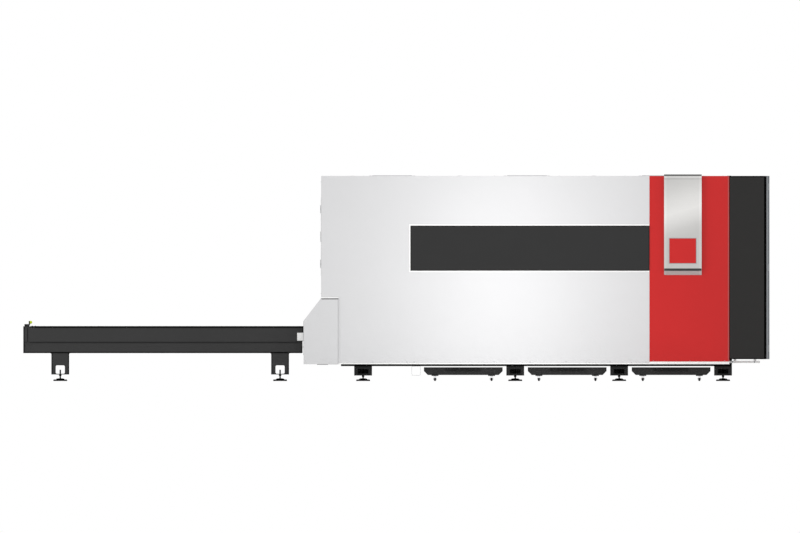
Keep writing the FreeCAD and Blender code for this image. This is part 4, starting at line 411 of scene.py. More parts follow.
def band_finish():
    """Brushed stainless sheet: long fine marks along X, and a painted reflection, a diagonal sheen
    across it. Its top bend is painted dark as shade, with a painted highlight and then a painted
    crease of shade below it, and a painted highlight at both ends."""
    low, high = span("steel_band")
    made = worked_metal("brushed_stainless_band", "#d8d7d5", (260, 260, 1.1), 0.34, 0.05, 0.04, 0.55,
                        "#9a9894")
    tree = made.node_tree
    shader = tree.nodes["Principled BSDF"]
    old = shader.inputs["Base Color"].links[0].from_socket
    spot = add(tree, "TexCoord").outputs["Object"]
    parts = add(tree, "SeparateXYZ", {}, {0: spot})
    height = (high.z - low.z) * MM
    # Painted reflection: a diagonal sheen across the band, brightest about two thirds of the way up.
    slant = add(tree, "Math", {"operation": "MULTIPLY_ADD"},
                {0: parts.outputs[0], 1: -0.30, 2: parts.outputs[2]})
    middle_x = (low.x + high.x) / 2 * MM
    foot = low.z * MM - 0.30 * middle_x
    slow = add(tree, "MapRange", {}, {"Value": slant.outputs[0], "From Min": foot,
                                      "From Max": foot + height})
    drift = add(tree, "ValToRGB", {"stops": [(0.0, grey(0.88)), (0.38, grey(0.895)), (0.46, grey(0.965)),
                                             (0.55, grey(1.14)), (0.64, grey(1.267)), (0.76, grey(1.16)),
                                             (0.88, grey(1.01)), (1.0, grey(0.90))]},
                {0: slow.outputs[0]})
    # Painted shade on the top bend and in a crease 50 mm below the top, with a painted highlight between
    # them.
    rise = add(tree, "MapRange", {}, {"Value": parts.outputs[2], "From Min": (high.z - 100) * MM,
                                      "From Max": high.z * MM})
    rim = add(tree, "ValToRGB", {"stops": [(0.0, grey(1.0)), (0.40, grey(1.0)), (0.50, grey(0.82)),
                                           (0.60, grey(0.98)), (0.66, grey(1.16)), (0.80, grey(1.12)),
                                           (0.83, grey(0.22)), (1.0, grey(0.20))]},
              {0: rise.outputs[0]})
    # Painted highlight along the band's two ends.
    side = add(tree, "MapRange", {}, {"Value": parts.outputs[0], "From Min": low.x * MM,
                                      "From Max": high.x * MM})
    edges = add(tree, "ValToRGB", {"stops": [(0.0, grey(1.08)), (0.055, grey(1.08)), (0.075, grey(1.0)),
                                             (0.925, grey(1.0)), (0.945, grey(1.08)), (1.0, grey(1.08))]},
                {0: side.outputs[0]})
    first = add(tree, "VectorMath", {"operation": "MULTIPLY"}, {0: old, 1: drift.outputs[0]})
    second = add(tree, "VectorMath", {"operation": "MULTIPLY"}, {0: first.outputs[0], 1: rim.outputs[0]})
    third = add(tree, "VectorMath", {"operation": "MULTIPLY"}, {0: second.outputs[0], 1: edges.outputs[0]})
    tree.links.new(third.outputs[0], shader.inputs["Base Color"])
    return made


def slat_finish():
    """Hot-rolled strip cut with pointed teeth: blue-black mill scale and a light film of rust below,
    teeth that the beam has heated straw and blue, with grey spatter on their tips."""
    made, tree, shader = start("mill_scale_slats", Metallic=0.55, Specular_IOR_Level=0.4)
    coords = add(tree, "TexCoord")
    spot = coords.outputs["Object"]
    height = add(tree, "SeparateXYZ", {}, {0: coords.outputs["Generated"]})
    patches = add(tree, "TexNoise", {}, {"Vector": spot, "Scale": scale_for(45), "Detail": 6.0,
                                         "Roughness": 0.65})
    scale = add(tree, "ValToRGB", {"stops": [(0.30, linear("#17181a")), (0.52, linear("#27282b")),
                                             (0.62, linear("#3a3029")), (0.75, linear("#4c3526"))]},
                {0: patches.outputs[0]})
    ragged = add(tree, "Math", {"operation": "MULTIPLY_ADD"}, {0: patches.outputs[0], 1: 0.10,
                                                              2: height.outputs[2]})
    heat = add(tree, "ValToRGB", {"stops": [(0.76, (0, 0, 0, 1)), (0.86, (0.4, 0.4, 0.4, 1)),
                                            (1.0, (0.9, 0.9, 0.9, 1))]}, {0: ragged.outputs[0]})
    tint = add(tree, "ValToRGB", {"stops": [(0.78, linear("#2c2f3c")), (0.88, linear("#3a3426")),
                                            (1.0, linear("#1c1b1b"))]}, {0: ragged.outputs[0]})
    mixed = add(tree, "Mix", {"data_type": "RGBA"}, {0: heat.outputs[0], 6: scale.outputs[0],
                                                    7: tint.outputs[0]})
    spatter = add(tree, "TexVoronoi", {}, {"Vector": spot, "Scale": scale_for(5)})
    relief = add(tree, "Bump", {}, {"Strength": 0.35, "Distance": 0.0008, "Height": spatter.outputs[0]})
    gloss = add(tree, "MapRange", {}, {"Value": patches.outputs[0], "To Min": 0.42, "To Max": 0.78})
    tree.links.new(mixed.outputs[2], shader.inputs["Base Color"])
    tree.links.new(gloss.outputs[0], shader.inputs["Roughness"])
    tree.links.new(relief.outputs[0], shader.inputs["Normal"])
    return made


def glass_finish(name, colour):
    """Smoked laser-safe acrylic: almost opaque, smooth, with a faint film of dust."""
    made, tree, shader = start(name, IOR=1.49, Coat_Weight=0.0)
    spot = add(tree, "TexCoord").outputs["Object"]
    dust = add(tree, "TexNoise", {}, {"Vector": spot, "Scale": scale_for(240), "Detail": 6.0})
    specks = add(tree, "TexNoise", {}, {"Vector": spot, "Scale": scale_for(2.5), "Detail": 2.0})
    film = add(tree, "MapRange", {}, {"Value": dust.outputs[0], "From Min": 0.3, "From Max": 0.8,
                                      "To Min": 0.85, "To Max": 1.25})
    shade = add(tree, "VectorMath", {"operation": "SCALE"}, {0: linear(colour)[:3],
                                                            "Scale": film.outputs[0]})
    gloss = add(tree, "MapRange", {}, {"Value": specks.outputs[0], "To Min": 0.05, "To Max": 0.14})
    tree.links.new(shade.outputs[0], shader.inputs["Base Color"])
    tree.links.new(gloss.outputs[0], shader.inputs["Roughness"])
    return made


def tray_finish():
    """Scrap tray: charcoal coat above, clear zinc on the castor forks bolted below it."""
    # Its edges are darkened over 20 mm: painted shade.
    made = painted("scrap_tray_coat", "#262626", 2.0, 0.55, 0.30, 0.20, 20.0, 0.15, 0.20)
    tree = made.node_tree
    shader = tree.nodes["Principled BSDF"]
    old = shader.inputs["Base Color"].links[0].from_socket
    spot = add(tree, "TexCoord").outputs["Object"]
    parts = add(tree, "SeparateXYZ", {}, {0: spot})
    fork = add(tree, "Math", {"operation": "LESS_THAN"}, {0: parts.outputs[2], 1: TRAY_FLOOR_Z * MM})
    mixed = add(tree, "Mix", {"data_type": "RGBA"}, {0: fork.outputs[0], 6: old, 7: linear("#f1f2f3")})
    old_gloss = shader.inputs["Roughness"].links[0].from_socket
    plate = add(tree, "Math", {"operation": "MULTIPLY_ADD"}, {0: fork.outputs[0], 1: -0.40, 2: old_gloss})
    tree.links.new(plate.outputs[0], shader.inputs["Roughness"])
    tree.links.new(mixed.outputs[2], shader.inputs["Base Color"])
    tree.links.new(fork.outputs[0], shader.inputs["Metallic"])
    return made


def sensor_finish():
    """Stop bracket in black enamel; the lamp on its end is a yellow-green moulded lens."""
    made = painted("stop_bracket_enamel", "#0d0d0d", 4.0, 0.5, 0.25, 0.10)
    tree = made.node_tree
    shader = tree.nodes["Principled BSDF"]
    old = shader.inputs["Base Color"].links[0].from_socket
    spot = add(tree, "TexCoord").outputs["Object"]
    parts = add(tree, "SeparateXYZ", {}, {0: spot})
    lens = add(tree, "Math", {"operation": "GREATER_THAN"}, {0: parts.outputs[0], 1: LAMP_X * MM})
    mixed = add(tree, "Mix", {"data_type": "RGBA"}, {0: lens.outputs[0], 6: old, 7: linear("#c3d52c")})
    tree.links.new(mixed.outputs[2], shader.inputs["Base Color"])
    return made


TRAY_FLOOR_Z = 56.0                    # castor forks lie below it, the tray above
LAMP_X = span("pallet_sensor")[1].x - 24.0
BAND_FINISH = band_finish()
SLAT_FINISH = slat_finish()
SMOKED_GLASS = glass_finish("smoked_acrylic", "#0b0b0b")
TRAY_FINISH = tray_finish()
SENSOR_FINISH = sensor_finish()

# The finish and the edge rounding, in millimetres, of each node that stays as it is.
FINISHES = [
    (WHITE_COAT, 2.0, ("near_side_panel", "far_side_panel", "end_wall", "service_hatch", "roof_panels")),
    (HOOD_COAT, 2.0, ("tunnel_hood",)),
    (SILL_COAT, 1.0, ("sill_frame",)),
    (RED_COAT, 2.0, ("red_panels", "badge_plate")),
    (CHARCOAL_COAT, 1.5, ("exchange_frame", "electrical_cabinet", "laser_source", "lift_door")),
    (BAY_COAT, 2.0, ("end_bay_shell",)),
    (BED_ENAMEL, 1.5, ("bed_frame", "exchange_motor", "x_motors", "y_motor",
                       "upper_pallet_frame", "lower_pallet_frame")),
    (EDGING_AND_SHADE, 1.0, ("levelling_feet",)),
    (SENSOR_FINISH, 0.8, ("pallet_sensor",)),
    (GREY_ENAMEL, 1.5, ("pallet_tracks", "gantry_beam", "y_carriage", "scrap_chutes")),
    (GROUND_STEEL, 0.6, ("x_rails", "x_racks", "gantry_rails", "near_x_pinion", "far_x_pinion",
                         "y_pinion", "exchange_shaft", "exchange_chains",
                         "upper_pallet_rear_wheels", "upper_pallet_front_wheels",
                         "lower_pallet_rear_wheels", "lower_pallet_front_wheels")),
    (BAND_FINISH, 0.0, ("steel_band",)),
    (SLAT_FINISH, 0.0, ("upper_pallet_slats", "lower_pallet_slats")),
    (LIGHT_ENAMEL, 1.5, ("lifting_tube",)),
    (DOOR_ALUMINIUM, 2.0, ("near_door", "far_door", "door_hinges")),
    (SMOKED_GLASS, 0.8, ("near_window", "near_door_window", "far_door_window")),
    (HEAD_ANODISED, 1.0, ("z_slide", "cutting_head")),
    (COPPER, 0.3, ("nozzle",)),
    (TRAY_FINISH, 0.8, ("tray_1", "tray_2", "tray_3")),
    (TREAD, 0.8, tuple("tray_%d_%s_wheels" % (n, e) for n in (1, 2, 3) for e in ("front", "rear"))),
]
for finish, rounding, names in FINISHES:
    for name in names:
        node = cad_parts[name]
        if node.material_slots:
            for slot in node.material_slots:
                slot.material = finish
        else:
            node.data.materials.append(finish)
        if rounding:
            weld = node.modifiers.new("joined_corners", "WELD")
            weld.merge_threshold = 0.00001
            soften(node, rounding)

# ---------------------------------------------------------------- fittings: sizes and helpers
WALL = -span("red_panels")[0].y        # side walls' outer face, from the centre plane
BAY_LOW, BAY_HIGH = span("end_bay_shell")
PANEL_LOW, PANEL_HIGH = span("near_side_panel")
RED_LOW, RED_HIGH = span("red_panels")
HOOD_HIGH = span("tunnel_hood")[1]


def spread(first, last, count):
    """Evenly spaced places from first to last."""
    return [first + (last - first) * i / (count - 1) for i in range(count)]


def side_screws(shape, side, u, places, radius):
    """Screw heads on a face at u that looks away from the centre plane."""
    for x, z in places:
        shape.screw((x, side * u, z), 1, side, radius)


# ---------------------------------------------------------------- side walls
PANEL_SCREW_X = (-257, 117, 194, 1074, 1470, 1866, 2350, 2746)
PANEL_SCREW_Z = 209
RED_SCREW_X = (2830, 3230, 3610)
ARM_FACE = 1109                        # arms' outer face, from the centre plane
for side in SIDES:
    screws = Shape()
    side_screws(screws, side, WALL, [(x, PANEL_SCREW_Z) for x in PANEL_SCREW_X], 4.5)
    side_screws(screws, side, WALL, [(x, RED_LOW.z + 10) for x in RED_SCREW_X], 4.5)
    screws.piece("%s_panel_screws" % SIDE_NAME[side], "root", "bright_steel", ZINC_PLATE)

    # The trim's pink tint is a painted reflection of the red panel.
    trims = Shape()
    trims.side_block(side, RED_HIGH.x - 15, RED_HIGH.x - 6, WALL, WALL + 2, RED_LOW.z + 1, RED_HIGH.z - 1)
    for z in spread(RED_LOW.z + 60, RED_HIGH.z - 60, 7):
        trims.screw((RED_HIGH.x - 10.5, side * (WALL + 2), z), 1, side, 2.6)
    trims.piece("%s_corner_trim" % SIDE_NAME[side], "root", "door_aluminium", CORNER_TRIM, 0.4)

    seals = Shape()
    z0, z1 = BAY_LOW.z + 2, BAY_HIGH.z - 2
    x0, x1 = RED_HIGH.x + 1, BAY_HIGH.x - 19
    seals.side_block(side, x1, BAY_HIGH.x, WALL, WALL + 1.6, z0, z1)
    seals.side_block(side, BAY_HIGH.x, BAY_HIGH.x + 7.5, WALL + 0.4, WALL + 1.6, z0, z1)
    seals.side_block(side, x0, x1, WALL, WALL + 1.5, z1 - 12, z1)
    seals.side_block(side, x0, x1, WALL, WALL + 1.5, z0, z0 + 10)
    seals.side_block(side, x0 - 0.5, x0 + 4, WALL, WALL + 1.5, z0 + 10, z1 - 12)
    seals.piece("%s_bay_seal" % SIDE_NAME[side], "root", "castor_rubber", EDGING_AND_SHADE, 0.3)

    arms = Shape()
    for x in (BAY_LOW.x + 35, BAY_LOW.x + 279):
        arms.bolt((x, side * ARM_FACE, PANEL_SCREW_Z + 1), 1, side, 6.5)
    arms.piece("%s_arm_bolts" % SIDE_NAME[side], "root", "bright_steel", ZINC_PLATE, 0.3)

# Window surround: a light glazing bead, and a black wedge seal on the pane inside it.
pane_low, pane_high = span("near_window")
bead = Shape()
x0, x1, z0, z1 = pane_low.x, PANEL_HIGH.x - 1, pane_low.z, pane_high.z
bead.block((x0 - 15, -WALL - 3, z0 - 15), (x0 - 1, -WALL, z1 + 15))
bead.block((x0 - 1, -WALL - 3, z0 - 15), (x1, -WALL, z0 - 1))
bead.block((x0 - 1, -WALL - 3, z1 + 1), (x1, -WALL, z1 + 15))
bead.piece("window_bead", "root", "white_enclosure", SILL_COAT, 1.0)
wedge = Shape()
wedge.frame((x0 + 0.5, z0 + 0.5, x1 - 0.5, z1 - 0.5), (x0 + 9, z0 + 9, x1 - 9, z1 - 9), 1,
            pane_low.y - 1.5, pane_low.y + 1)
wedge.piece("window_seal", "root", "castor_rubber", RUBBER, 0.4)

# Steel band: a dark strip in its groove, painted shade, and a bezel round the square plate.
band_low, band_high = span("steel_band")
strip = Shape()
groove_y, strip_y = -1233, -1236.5
strip.prism([(groove_y, 1212.5), (strip_y, 1214), (strip_y, 1236), (groove_y, 1238)], 0,
            band_low.x + 2, band_high.x - 2)
strip.piece("band_groove_shade_strip", "root", "castor_rubber", GROOVE_SHADE_STRIP, 0.4)
badge_low, badge_high = span("badge_plate")
BEZEL_Y = -1245                        # the face that the bezel lies on
bezel = Shape()
bezel.frame((badge_low.x - 7, badge_low.z - 7, badge_high.x + 7, badge_high.z + 7),
            (badge_low.x, badge_low.z, badge_high.x, badge_high.z), 1, BEZEL_Y - 3, BEZEL_Y)
bezel.piece("plate_bezel", "root", "door_aluminium", CAST_ALUMINIUM, 0.8)

# ---------------------------------------------------------------- tunnel hood
CHEEK = 1215                           # hood cheeks' outer face, from the centre plane
LUG_FACE, LUG_X0, LUG_X1 = 947, -1091, -1024
MOUTH_X, MOUTH_HALF, MOUTH_LOW, MOUTH_HIGH = -1021, 950, 293, 645
for side in SIDES:
    seal = Shape()
    seal.prism([(side * CHEEK, HOOD_HIGH.z - 16), (side * (CHEEK + 2.5), HOOD_HIGH.z - 14),
                (side * (CHEEK + 2.5), HOOD_HIGH.z - 5), (side * CHEEK, HOOD_HIGH.z - 3)], 0,
               PANEL_LOW.x + 4, HOOD_HIGH.x - 1)
    seal.piece("%s_hood_seal" % SIDE_NAME[side], "root", "castor_rubber", GREY_RUBBER, 0.4)
    # The cap is coated a brighter white than the hood: a painted highlight along the cheek's top edge.
    cap = Shape()
    cap.side_block(side, PANEL_LOW.x, HOOD_HIGH.x, WALL + 0.2, CHEEK, HOOD_HIGH.z, HOOD_HIGH.z + 9)
    cap.piece("%s_hood_cap" % SIDE_NAME[side], "root", "white_enclosure", SILL_COAT, 1.0)
    screws = Shape()
    side_screws(screws, side, CHEEK, [(HOOD_HIGH.x - 16, z) for z in (230, 390, 550, 710, 860)], 4.5)
    side_screws(screws, side, CHEEK, [(-1002, z) for z in (230, 420, 620)], 4.5)
    screws.piece("%s_hood_screws" % SIDE_NAME[side], "root", "white_enclosure", HOOD_COAT)
    pad = Shape()
    pad.side_block(side, LUG_X0, LUG_X1, LUG_FACE, LUG_FACE + 4, 444.5, 530.5)
    for z in (463, 512):
        pad.screw((LUG_X0 + 19, side * (LUG_FACE + 4), z), 1, side, 5)
    pad.piece("%s_guide_pad" % SIDE_NAME[side], "root", "white_enclosure", ACETAL, 1.2)
mouth = Shape()
mouth.frame((-MOUTH_HALF - 8, MOUTH_LOW - 8, MOUTH_HALF + 8, MOUTH_HIGH + 12),
            (-MOUTH_HALF, MOUTH_LOW, MOUTH_HALF, MOUTH_HIGH), 0, MOUTH_X - 2, MOUTH_X)
mouth.piece("hood_mouth_trim", "root", "castor_rubber", GREY_RUBBER, 0.5)

# ---------------------------------------------------------------- far wall
COLLAR = Vector((872, WALL, 1750))     # extraction collar's centre on the wall
BOLT_CIRCLE = 168
collar = Shape()
collar.turned(COLLAR, 1, [(150.5, 0), (182, 0), (182, 4), (150.5, 4)], 64, closed=True)
for i in range(8):
    angle = math.tau * (i + 0.5) / 8
    reach = at(1, BOLT_CIRCLE * math.cos(angle), BOLT_CIRCLE * math.sin(angle), 4)
    collar.bolt(COLLAR + reach, 1, 1, 7)
for s in (30, 40):
    collar.turned(COLLAR, 1, [(150.2, s - 3), (153, s - 1.5), (153, s + 1.5), (150.2, s + 3)], 64,
                  closed=True)
collar.piece("collar_flange", "root", "bright_steel", ZINC_PLATE, 0.4)
gland = Shape()
CABLE_ENTRY = (3863, 1200, 420)
gland.turned(CABLE_ENTRY, 1, [(45.3, 0.2), (56, 0.2), (56, 10), (53, 12.5), (45.3, 12.5)], 8, closed=True)
gland.piece("cable_gland_nut", "root", "castor_rubber", NYLON, 0.8)
for name, x0, x1, z0, z1 in (("lower_service_cover", -520, 180, 320, 900),
                             ("middle_service_cover", 1300, 2100, 320, 900),
                             ("upper_service_cover", 1500, 2300, 1250, 1950)):
    cover = Shape()
    cover.block((x0, WALL, z0), (x1, WALL + 3, z1))
    side_screws(cover, FAR, WALL + 3, [(x, z) for x in (x0 + 18, (x0 + x1) / 2, x1 - 18)
                                       for z in (z0 + 18, z1 - 18)], 5)
    cover.louvres(x0 + 90, x1 - 90, z0 + 90, z1 - 90, WALL + 3, 12, 7)
    cover.piece(name, "root", "white_enclosure", WHITE_COAT, 0.8)
COVER_LOCK_X, COVER_LOCK_Z = (-480, 140, 1345, 2055), 610
locks = Shape()
for x in COVER_LOCK_X:
    locks.turned((x, WALL + 3, COVER_LOCK_Z), 1, [(0, 6), (9, 6), (11, 4.5), (11, 0), (0, 0)], 20)
    locks.block((x - 1.5, WALL + 8.6, COVER_LOCK_Z - 7), (x + 1.5, WALL + 9.8, COVER_LOCK_Z + 7))
locks.piece("service_cover_locks", "root", "bright_steel", ZINC_PLATE, 0.4)

# ---------------------------------------------------------------- roof
roof_low, roof_high = span("roof_panels")
ROOF = roof_high.z
roof_step = (roof_high.x - roof_low.x) / 3
seams = Shape()
for x in (roof_low.x + roof_step, roof_low.x + 2 * roof_step, roof_high.x - 2, RED_HIGH.x):
    seams.prism([(x - 22, ROOF), (x - 18, ROOF + 3), (x + 18, ROOF + 3), (x + 22, ROOF)], 1, -1150, 1150)
for side in SIDES:
    for x in spread(roof_low.x + 70, roof_high.x - 70, 13):
        seams.screw((x, side * 1128, ROOF), 2, 1, 5)
seams.piece("roof_seams", "root", "white_enclosure", WHITE_COAT, 0.6)
VENT_X, VENT_Y = 260, 330              # half length and half width
vents = Shape()
for x in (roof_low.x + roof_step / 2, roof_low.x + 1.5 * roof_step, roof_low.x + 2.5 * roof_step):
    vents.block((x - VENT_X, -VENT_Y, ROOF), (x + VENT_X, VENT_Y, ROOF + 2))
    for y in spread(-270, 270, 10):
        vents.prism([(y - 20, ROOF + 2), (y - 20, ROOF + 7), (y - 14, ROOF + 7), (y + 18, ROOF + 2)], 0,
                    x - VENT_X + 40, x + VENT_X - 40)
    for dx in (20 - VENT_X, VENT_X - 20):
        for y in (20 - VENT_Y, 0, VENT_Y - 20):
            vents.screw((x + dx, y, ROOF + 2), 2, 1, 6)
vents.piece("roof_vents", "root", "white_enclosure", WHITE_COAT, 0.5)
eyes = Shape()
for x in (roof_low.x + 300, roof_high.x - 300):
    for side in SIDES:
        eyes.turned((x, side * 900, ROOF), 2,
                    [(0, 0), (38, 0), (38, 2), (32, 5), (13, 6), (12, 4), (0, 4)], 28)
eyes.piece("lifting_point_plugs", "root", "white_enclosure", ACETAL, 0.5)

# ---------------------------------------------------------------- end wall and its hatch
wall_screws = Shape()
for side in SIDES:
    for z in spread(960, 2190, 7):
        for u in (1120, 560):
            wall_screws.screw((PANEL_LOW.x, side * u, z), 0, -1, 5)
wall_screws.piece("end_wall_screws", "root", "bright_steel", ZINC_PLATE)
HATCH_HALF, HATCH_FOOT, HATCH_TOP = 330, 1160, 2020
hatch_face = PANEL_LOW.x
turns = Shape()
for z in (1290, 1890):
    turns.turned((hatch_face, -310, z), 0, [(0, -4.5), (10, -4.5), (12, -3), (12, 0), (0, 0)], 20)
    turns.block((hatch_face - 6, -311.5, z - 8), (hatch_face - 4.3, -308.5, z + 8))
turns.piece("hatch_turn_locks", "service_hatch", "bright_steel", ZINC_PLATE, 0.4)
hatch_seal = Shape()
hatch_seal.frame((-HATCH_HALF, HATCH_FOOT, HATCH_HALF, HATCH_TOP),
                 (12 - HATCH_HALF, HATCH_FOOT + 12, HATCH_HALF - 12, HATCH_TOP - 12),
                 0, hatch_face - 1.5, hatch_face)
hatch_seal.piece("hatch_edge_seal", "service_hatch", "castor_rubber", GREY_RUBBER, 0.4)

# ---------------------------------------------------------------- exchange station
CHANNEL, UPPER_CHANNEL = 926, 930      # channels' outer faces, from the centre plane
STATION_END = -4103
TUBE_MIDDLE, TUBE_FACE, COMB_FACE = 801, 831, 776
# The dark beads are painted shade under the step where the channels lap.
for side in SIDES:
    bead = Shape()
    inner, outer = side * (CHANNEL - 0.5), side * (CHANNEL + 4.6)
    bead.prism([(inner, 419), (outer, 420.5), (outer, 425.5), (inner, 427)], 0, -4028, -1084)
    bead.piece("%s_channel_seam" % SIDE_NAME[side], "root", "charcoal_frame", SEAM_SHADE_BEAD, 0.3)
for pallet in ("upper_pallet", "lower_pallet"):
    low, high = span(pallet + "_frame")
    slats_low, slats_high = span(pallet + "_slats")
    tube_low = slats_low.z - 15
    caps = Shape()
    for x, way in ((low.x, -1), (high.x, 1)):
        for side in SIDES:
            u = side * TUBE_MIDDLE
            inner, outer = sorted((x, x - way * 14))
            caps.block((inner, u - 25.5, tube_low + 4.5), (outer, u + 25.5, tube_low + 55.5))
    caps.piece("%s_tube_plugs" % pallet, pallet, "castor_rubber", NYLON, 1.5)
    bolts = Shape()
    for side in SIDES:
        for x in spread(low.x + 330, high.x - 330, 7):
            bolts.screw((x, side * TUBE_FACE, tube_low + 30), 1, side, 5)
    bolts.piece("%s_tube_screws" % pallet, pallet, "bright_steel", BLACK_OXIDE)
    lips = Shape()
    for side in SIDES:
        lips.side_block(side, low.x, high.x, COMB_FACE, COMB_FACE + 3,
                        slats_high.z - 19, slats_high.z - 1.2)
        for x in spread(low.x + 100, high.x - 100, 12):
            lips.screw((x, side * (COMB_FACE + 3), slats_high.z - 11), 1, side, 4)
    lips.piece("%s_edge_strips" % pallet, pallet, "mill_steel", EDGING_AND_SHADE, 0.5)

BED_X0, BED_X1 = -609, 3691
skirt = Shape()
for side in SIDES:
    skirt.side_block(side, BED_X0, BED_X1, 1150, 1152.5, 163.5, 181.8)
    skirt.side_block(side, BED_X0, BED_X1 - 32, 1197, 1198.5, 182.2, 185)
skirt.piece("bed_skirt", "root", "castor_rubber", EDGING_AND_SHADE, 0.3)

LEG_FOOT = 72
GUARD_TOP = 604                        # top of the end guard blocks
LEG_EDGES = (-3795, -3609, -1377, -1191)
# Black strips along the legs' edges, the station's end, a line beside it and the channels' lower edge are
# painted shade; the guard blocks on top, with their bolts, are rubber.
edging_and_shade = Shape()
for side in SIDES:
    edging_and_shade.side_block(side, STATION_END, -1033, CHANNEL, CHANNEL + 2.5, 306.6, 318)
    edging_and_shade.side_block(side, STATION_END, STATION_END + 10, UPPER_CHANNEL, UPPER_CHANNEL + 1.5, 319, 600)
    edging_and_shade.side_block(side, -4058, -4052, UPPER_CHANNEL, UPPER_CHANNEL + 1.5, 433, 585)
    for x in LEG_EDGES:
        edging_and_shade.side_block(side, x, x + 10, UPPER_CHANNEL, UPPER_CHANNEL + 1.6, LEG_FOOT, 306)
    edging_and_shade.side_block(side, -4022, -3950, 850, 928, 586.3, GUARD_TOP)
    for x in (-4005, -3970):
        edging_and_shade.bolt((x, side * 889, GUARD_TOP), 2, 1, 6)
edging_and_shade.piece("station_edging", "root", "castor_rubber", EDGING_AND_SHADE, 0.4)

EXCHANGE_MOTOR_X, EXCHANGE_MOTOR_Z = -4035, 525
motor = Shape()
for y in spread(-186, 30, 25):
    motor.turned((EXCHANGE_MOTOR_X, y, EXCHANGE_MOTOR_Z), 1,
                 [(42.2, -1.3), (45.5, -0.9), (45.5, 0.9), (42.2, 1.3)], 32, closed=True)
motor.piece("exchange_motor_fins", "root", "black_bed", BED_ENAMEL)

# ---------------------------------------------------------------- gantry
X_RAIL = 1000                          # X rails' middle, from the centre plane
GANTRY_RAIL_Z = (847, 1027)
X_MOTOR, X_MOTOR_U, X_MOTOR_TOP = -181, 1097, 1067
END_PLATE_TOP = 787
rail_low, rail_high = span("x_rails")
plugs = Shape()
for side in SIDES:
    for x in spread(rail_low.x + 60, rail_high.x - 60, 36):
        plugs.turned((x, side * X_RAIL, rail_high.z), 2, [(0, 0.25), (5.4, 0.25), (5.8, 0), (0, 0)], 16)
plugs.piece("x_rail_plugs", "root", "bright_steel", BLACK_OXIDE)
gantry_face = span("gantry_rails")[1].x
plugs = Shape()
for z in GANTRY_RAIL_Z:
    for y in spread(-900, 900, 16):
        plugs.turned((gantry_face, y, z), 0, [(0, 0.25), (4.0, 0.25), (4.4, 0), (0, 0)], 16)
plugs.piece("gantry_rail_plugs", "gantry", "bright_steel", BLACK_OXIDE)
drive, plate_bolts = Shape(), Shape()
for side in SIDES:
    drive.side_block(side, X_MOTOR - 35, X_MOTOR + 35, X_MOTOR_U - 35, X_MOTOR_U + 35,
                     X_MOTOR_TOP, X_MOTOR_TOP + 12)
    for x in (X_MOTOR - 22, X_MOTOR + 14):
        drive.side_block(side, x - 12, x + 12, 1036, 1057, 1030, 1056)
        drive.turned((x, side * 1046, 1056), 2, [(0, 0), (9, 0), (9, 16), (7, 19), (0, 19)], 16)
    for x in (-216, -146, 99, 199, 299, -1):
        plate_bolts.bolt((x, side * 930, END_PLATE_TOP), 2, 1, 8)
drive.piece("x_drive_connectors", "gantry", "castor_rubber", NYLON, 1.2)
plate_bolts.piece("gantry_plate_bolts", "gantry", "bright_steel", BLACK_OXIDE, 0.3)
cap = Shape()
cap.block((409, 151, 939), (421, 219, 1007))
cap.block((340, 175, 1013), (364, 195, 1030))
cap.turned((352, 185, 1030), 2, [(0, 0), (9, 0), (9, 14), (7, 17), (0, 17)], 16)
cap.piece("y_drive_cap", "carriage", "castor_rubber", NYLON, 1.2)
cap = Shape()
cap.block((238, -34, 1400), (306, 34, 1412))
cap.block((225, -12, 1330), (232, 12, 1360))
cap.piece("lift_drive_cap", "carriage", "castor_rubber", NYLON, 1.2)
HEAD_X = 367
fibre = Shape()
fibre.turned((HEAD_X, 0, 1130), 2, [(0, 0), (17, 0), (17, 10), (15, 12), (15, 34), (17, 36), (17, 44),
                                    (12, 48), (9, 78), (7, 80), (0, 80)], 32)
for z in spread(1050, 1064, 3):
    fibre.turned((HEAD_X, 0, z), 2, [(28.1, -2), (30, -1), (30, 1), (28.1, 2)], 40, closed=True)
fibre.piece("fibre_connector", "cutting_head", "anodised_head", CAST_ALUMINIUM, 0.3)
drawer = Shape()
drawer.block((402, -24, 852), (407, 24, 884))
drawer.turned((407, 0, 868), 0, [(0, 9), (7, 9), (8, 7), (8, 0), (0, 0)], 20)
for y in (-18, 18):
    drawer.screw((407, y, 878), 0, 1, 2.6)
drawer.piece("lens_drawer", "cutting_head", "anodised_head", ZINC_PLATE, 0.5)

# ---------------------------------------------------------------- operator's doors
for side, body in ((NEAR, "near_door"), (FAR, "far_door")):
    name = SIDE_NAME[side]
    low, high = span(body)
    pane_low, pane_high = span(body + "_window")
    face = high.x
    profile = Shape()
    for z0, z1 in ((low.z + 1, 320), (400, 1208), (1288, 2096), (2176, high.z - 1)):
        profile.side_block(side, high.x - 15, high.x - 0.6, WALL, WALL + 0.8, z0, z1)
    profile.piece("%s_door_edge_profile" % name, body, "door_aluminium", DOOR_PROFILE, 0.2)
    u0, u1 = sorted((abs(pane_low.y), abs(pane_high.y)))
    ya, yb = sorted((side * (u0 + 15), side * (u1 - 15)))
    gasket = Shape()
    gasket.frame((ya, pane_low.z + 15, yb, pane_high.z - 15),
                 (ya + 9, pane_low.z + 24, yb - 9, pane_high.z - 24), 0, face - 3, face - 0.4)
    gasket.piece("%s_door_pane_seal" % name, body, "castor_rubber", RUBBER, 0.5)
    locks = Shape()
    locks.turned((face - 4, side * 85, 1000), 0, [(0, 3.6), (11, 3.6), (13, 2.4), (13, 0), (0, 0)], 24)
    locks.block((face - 0.6, side * 85 - 1.6, 991), (face - 0.1, side * 85 + 1.6, 1009))
    locks.piece("%s_door_lock" % name, body, "bright_steel", ZINC_PLATE, 0.3)

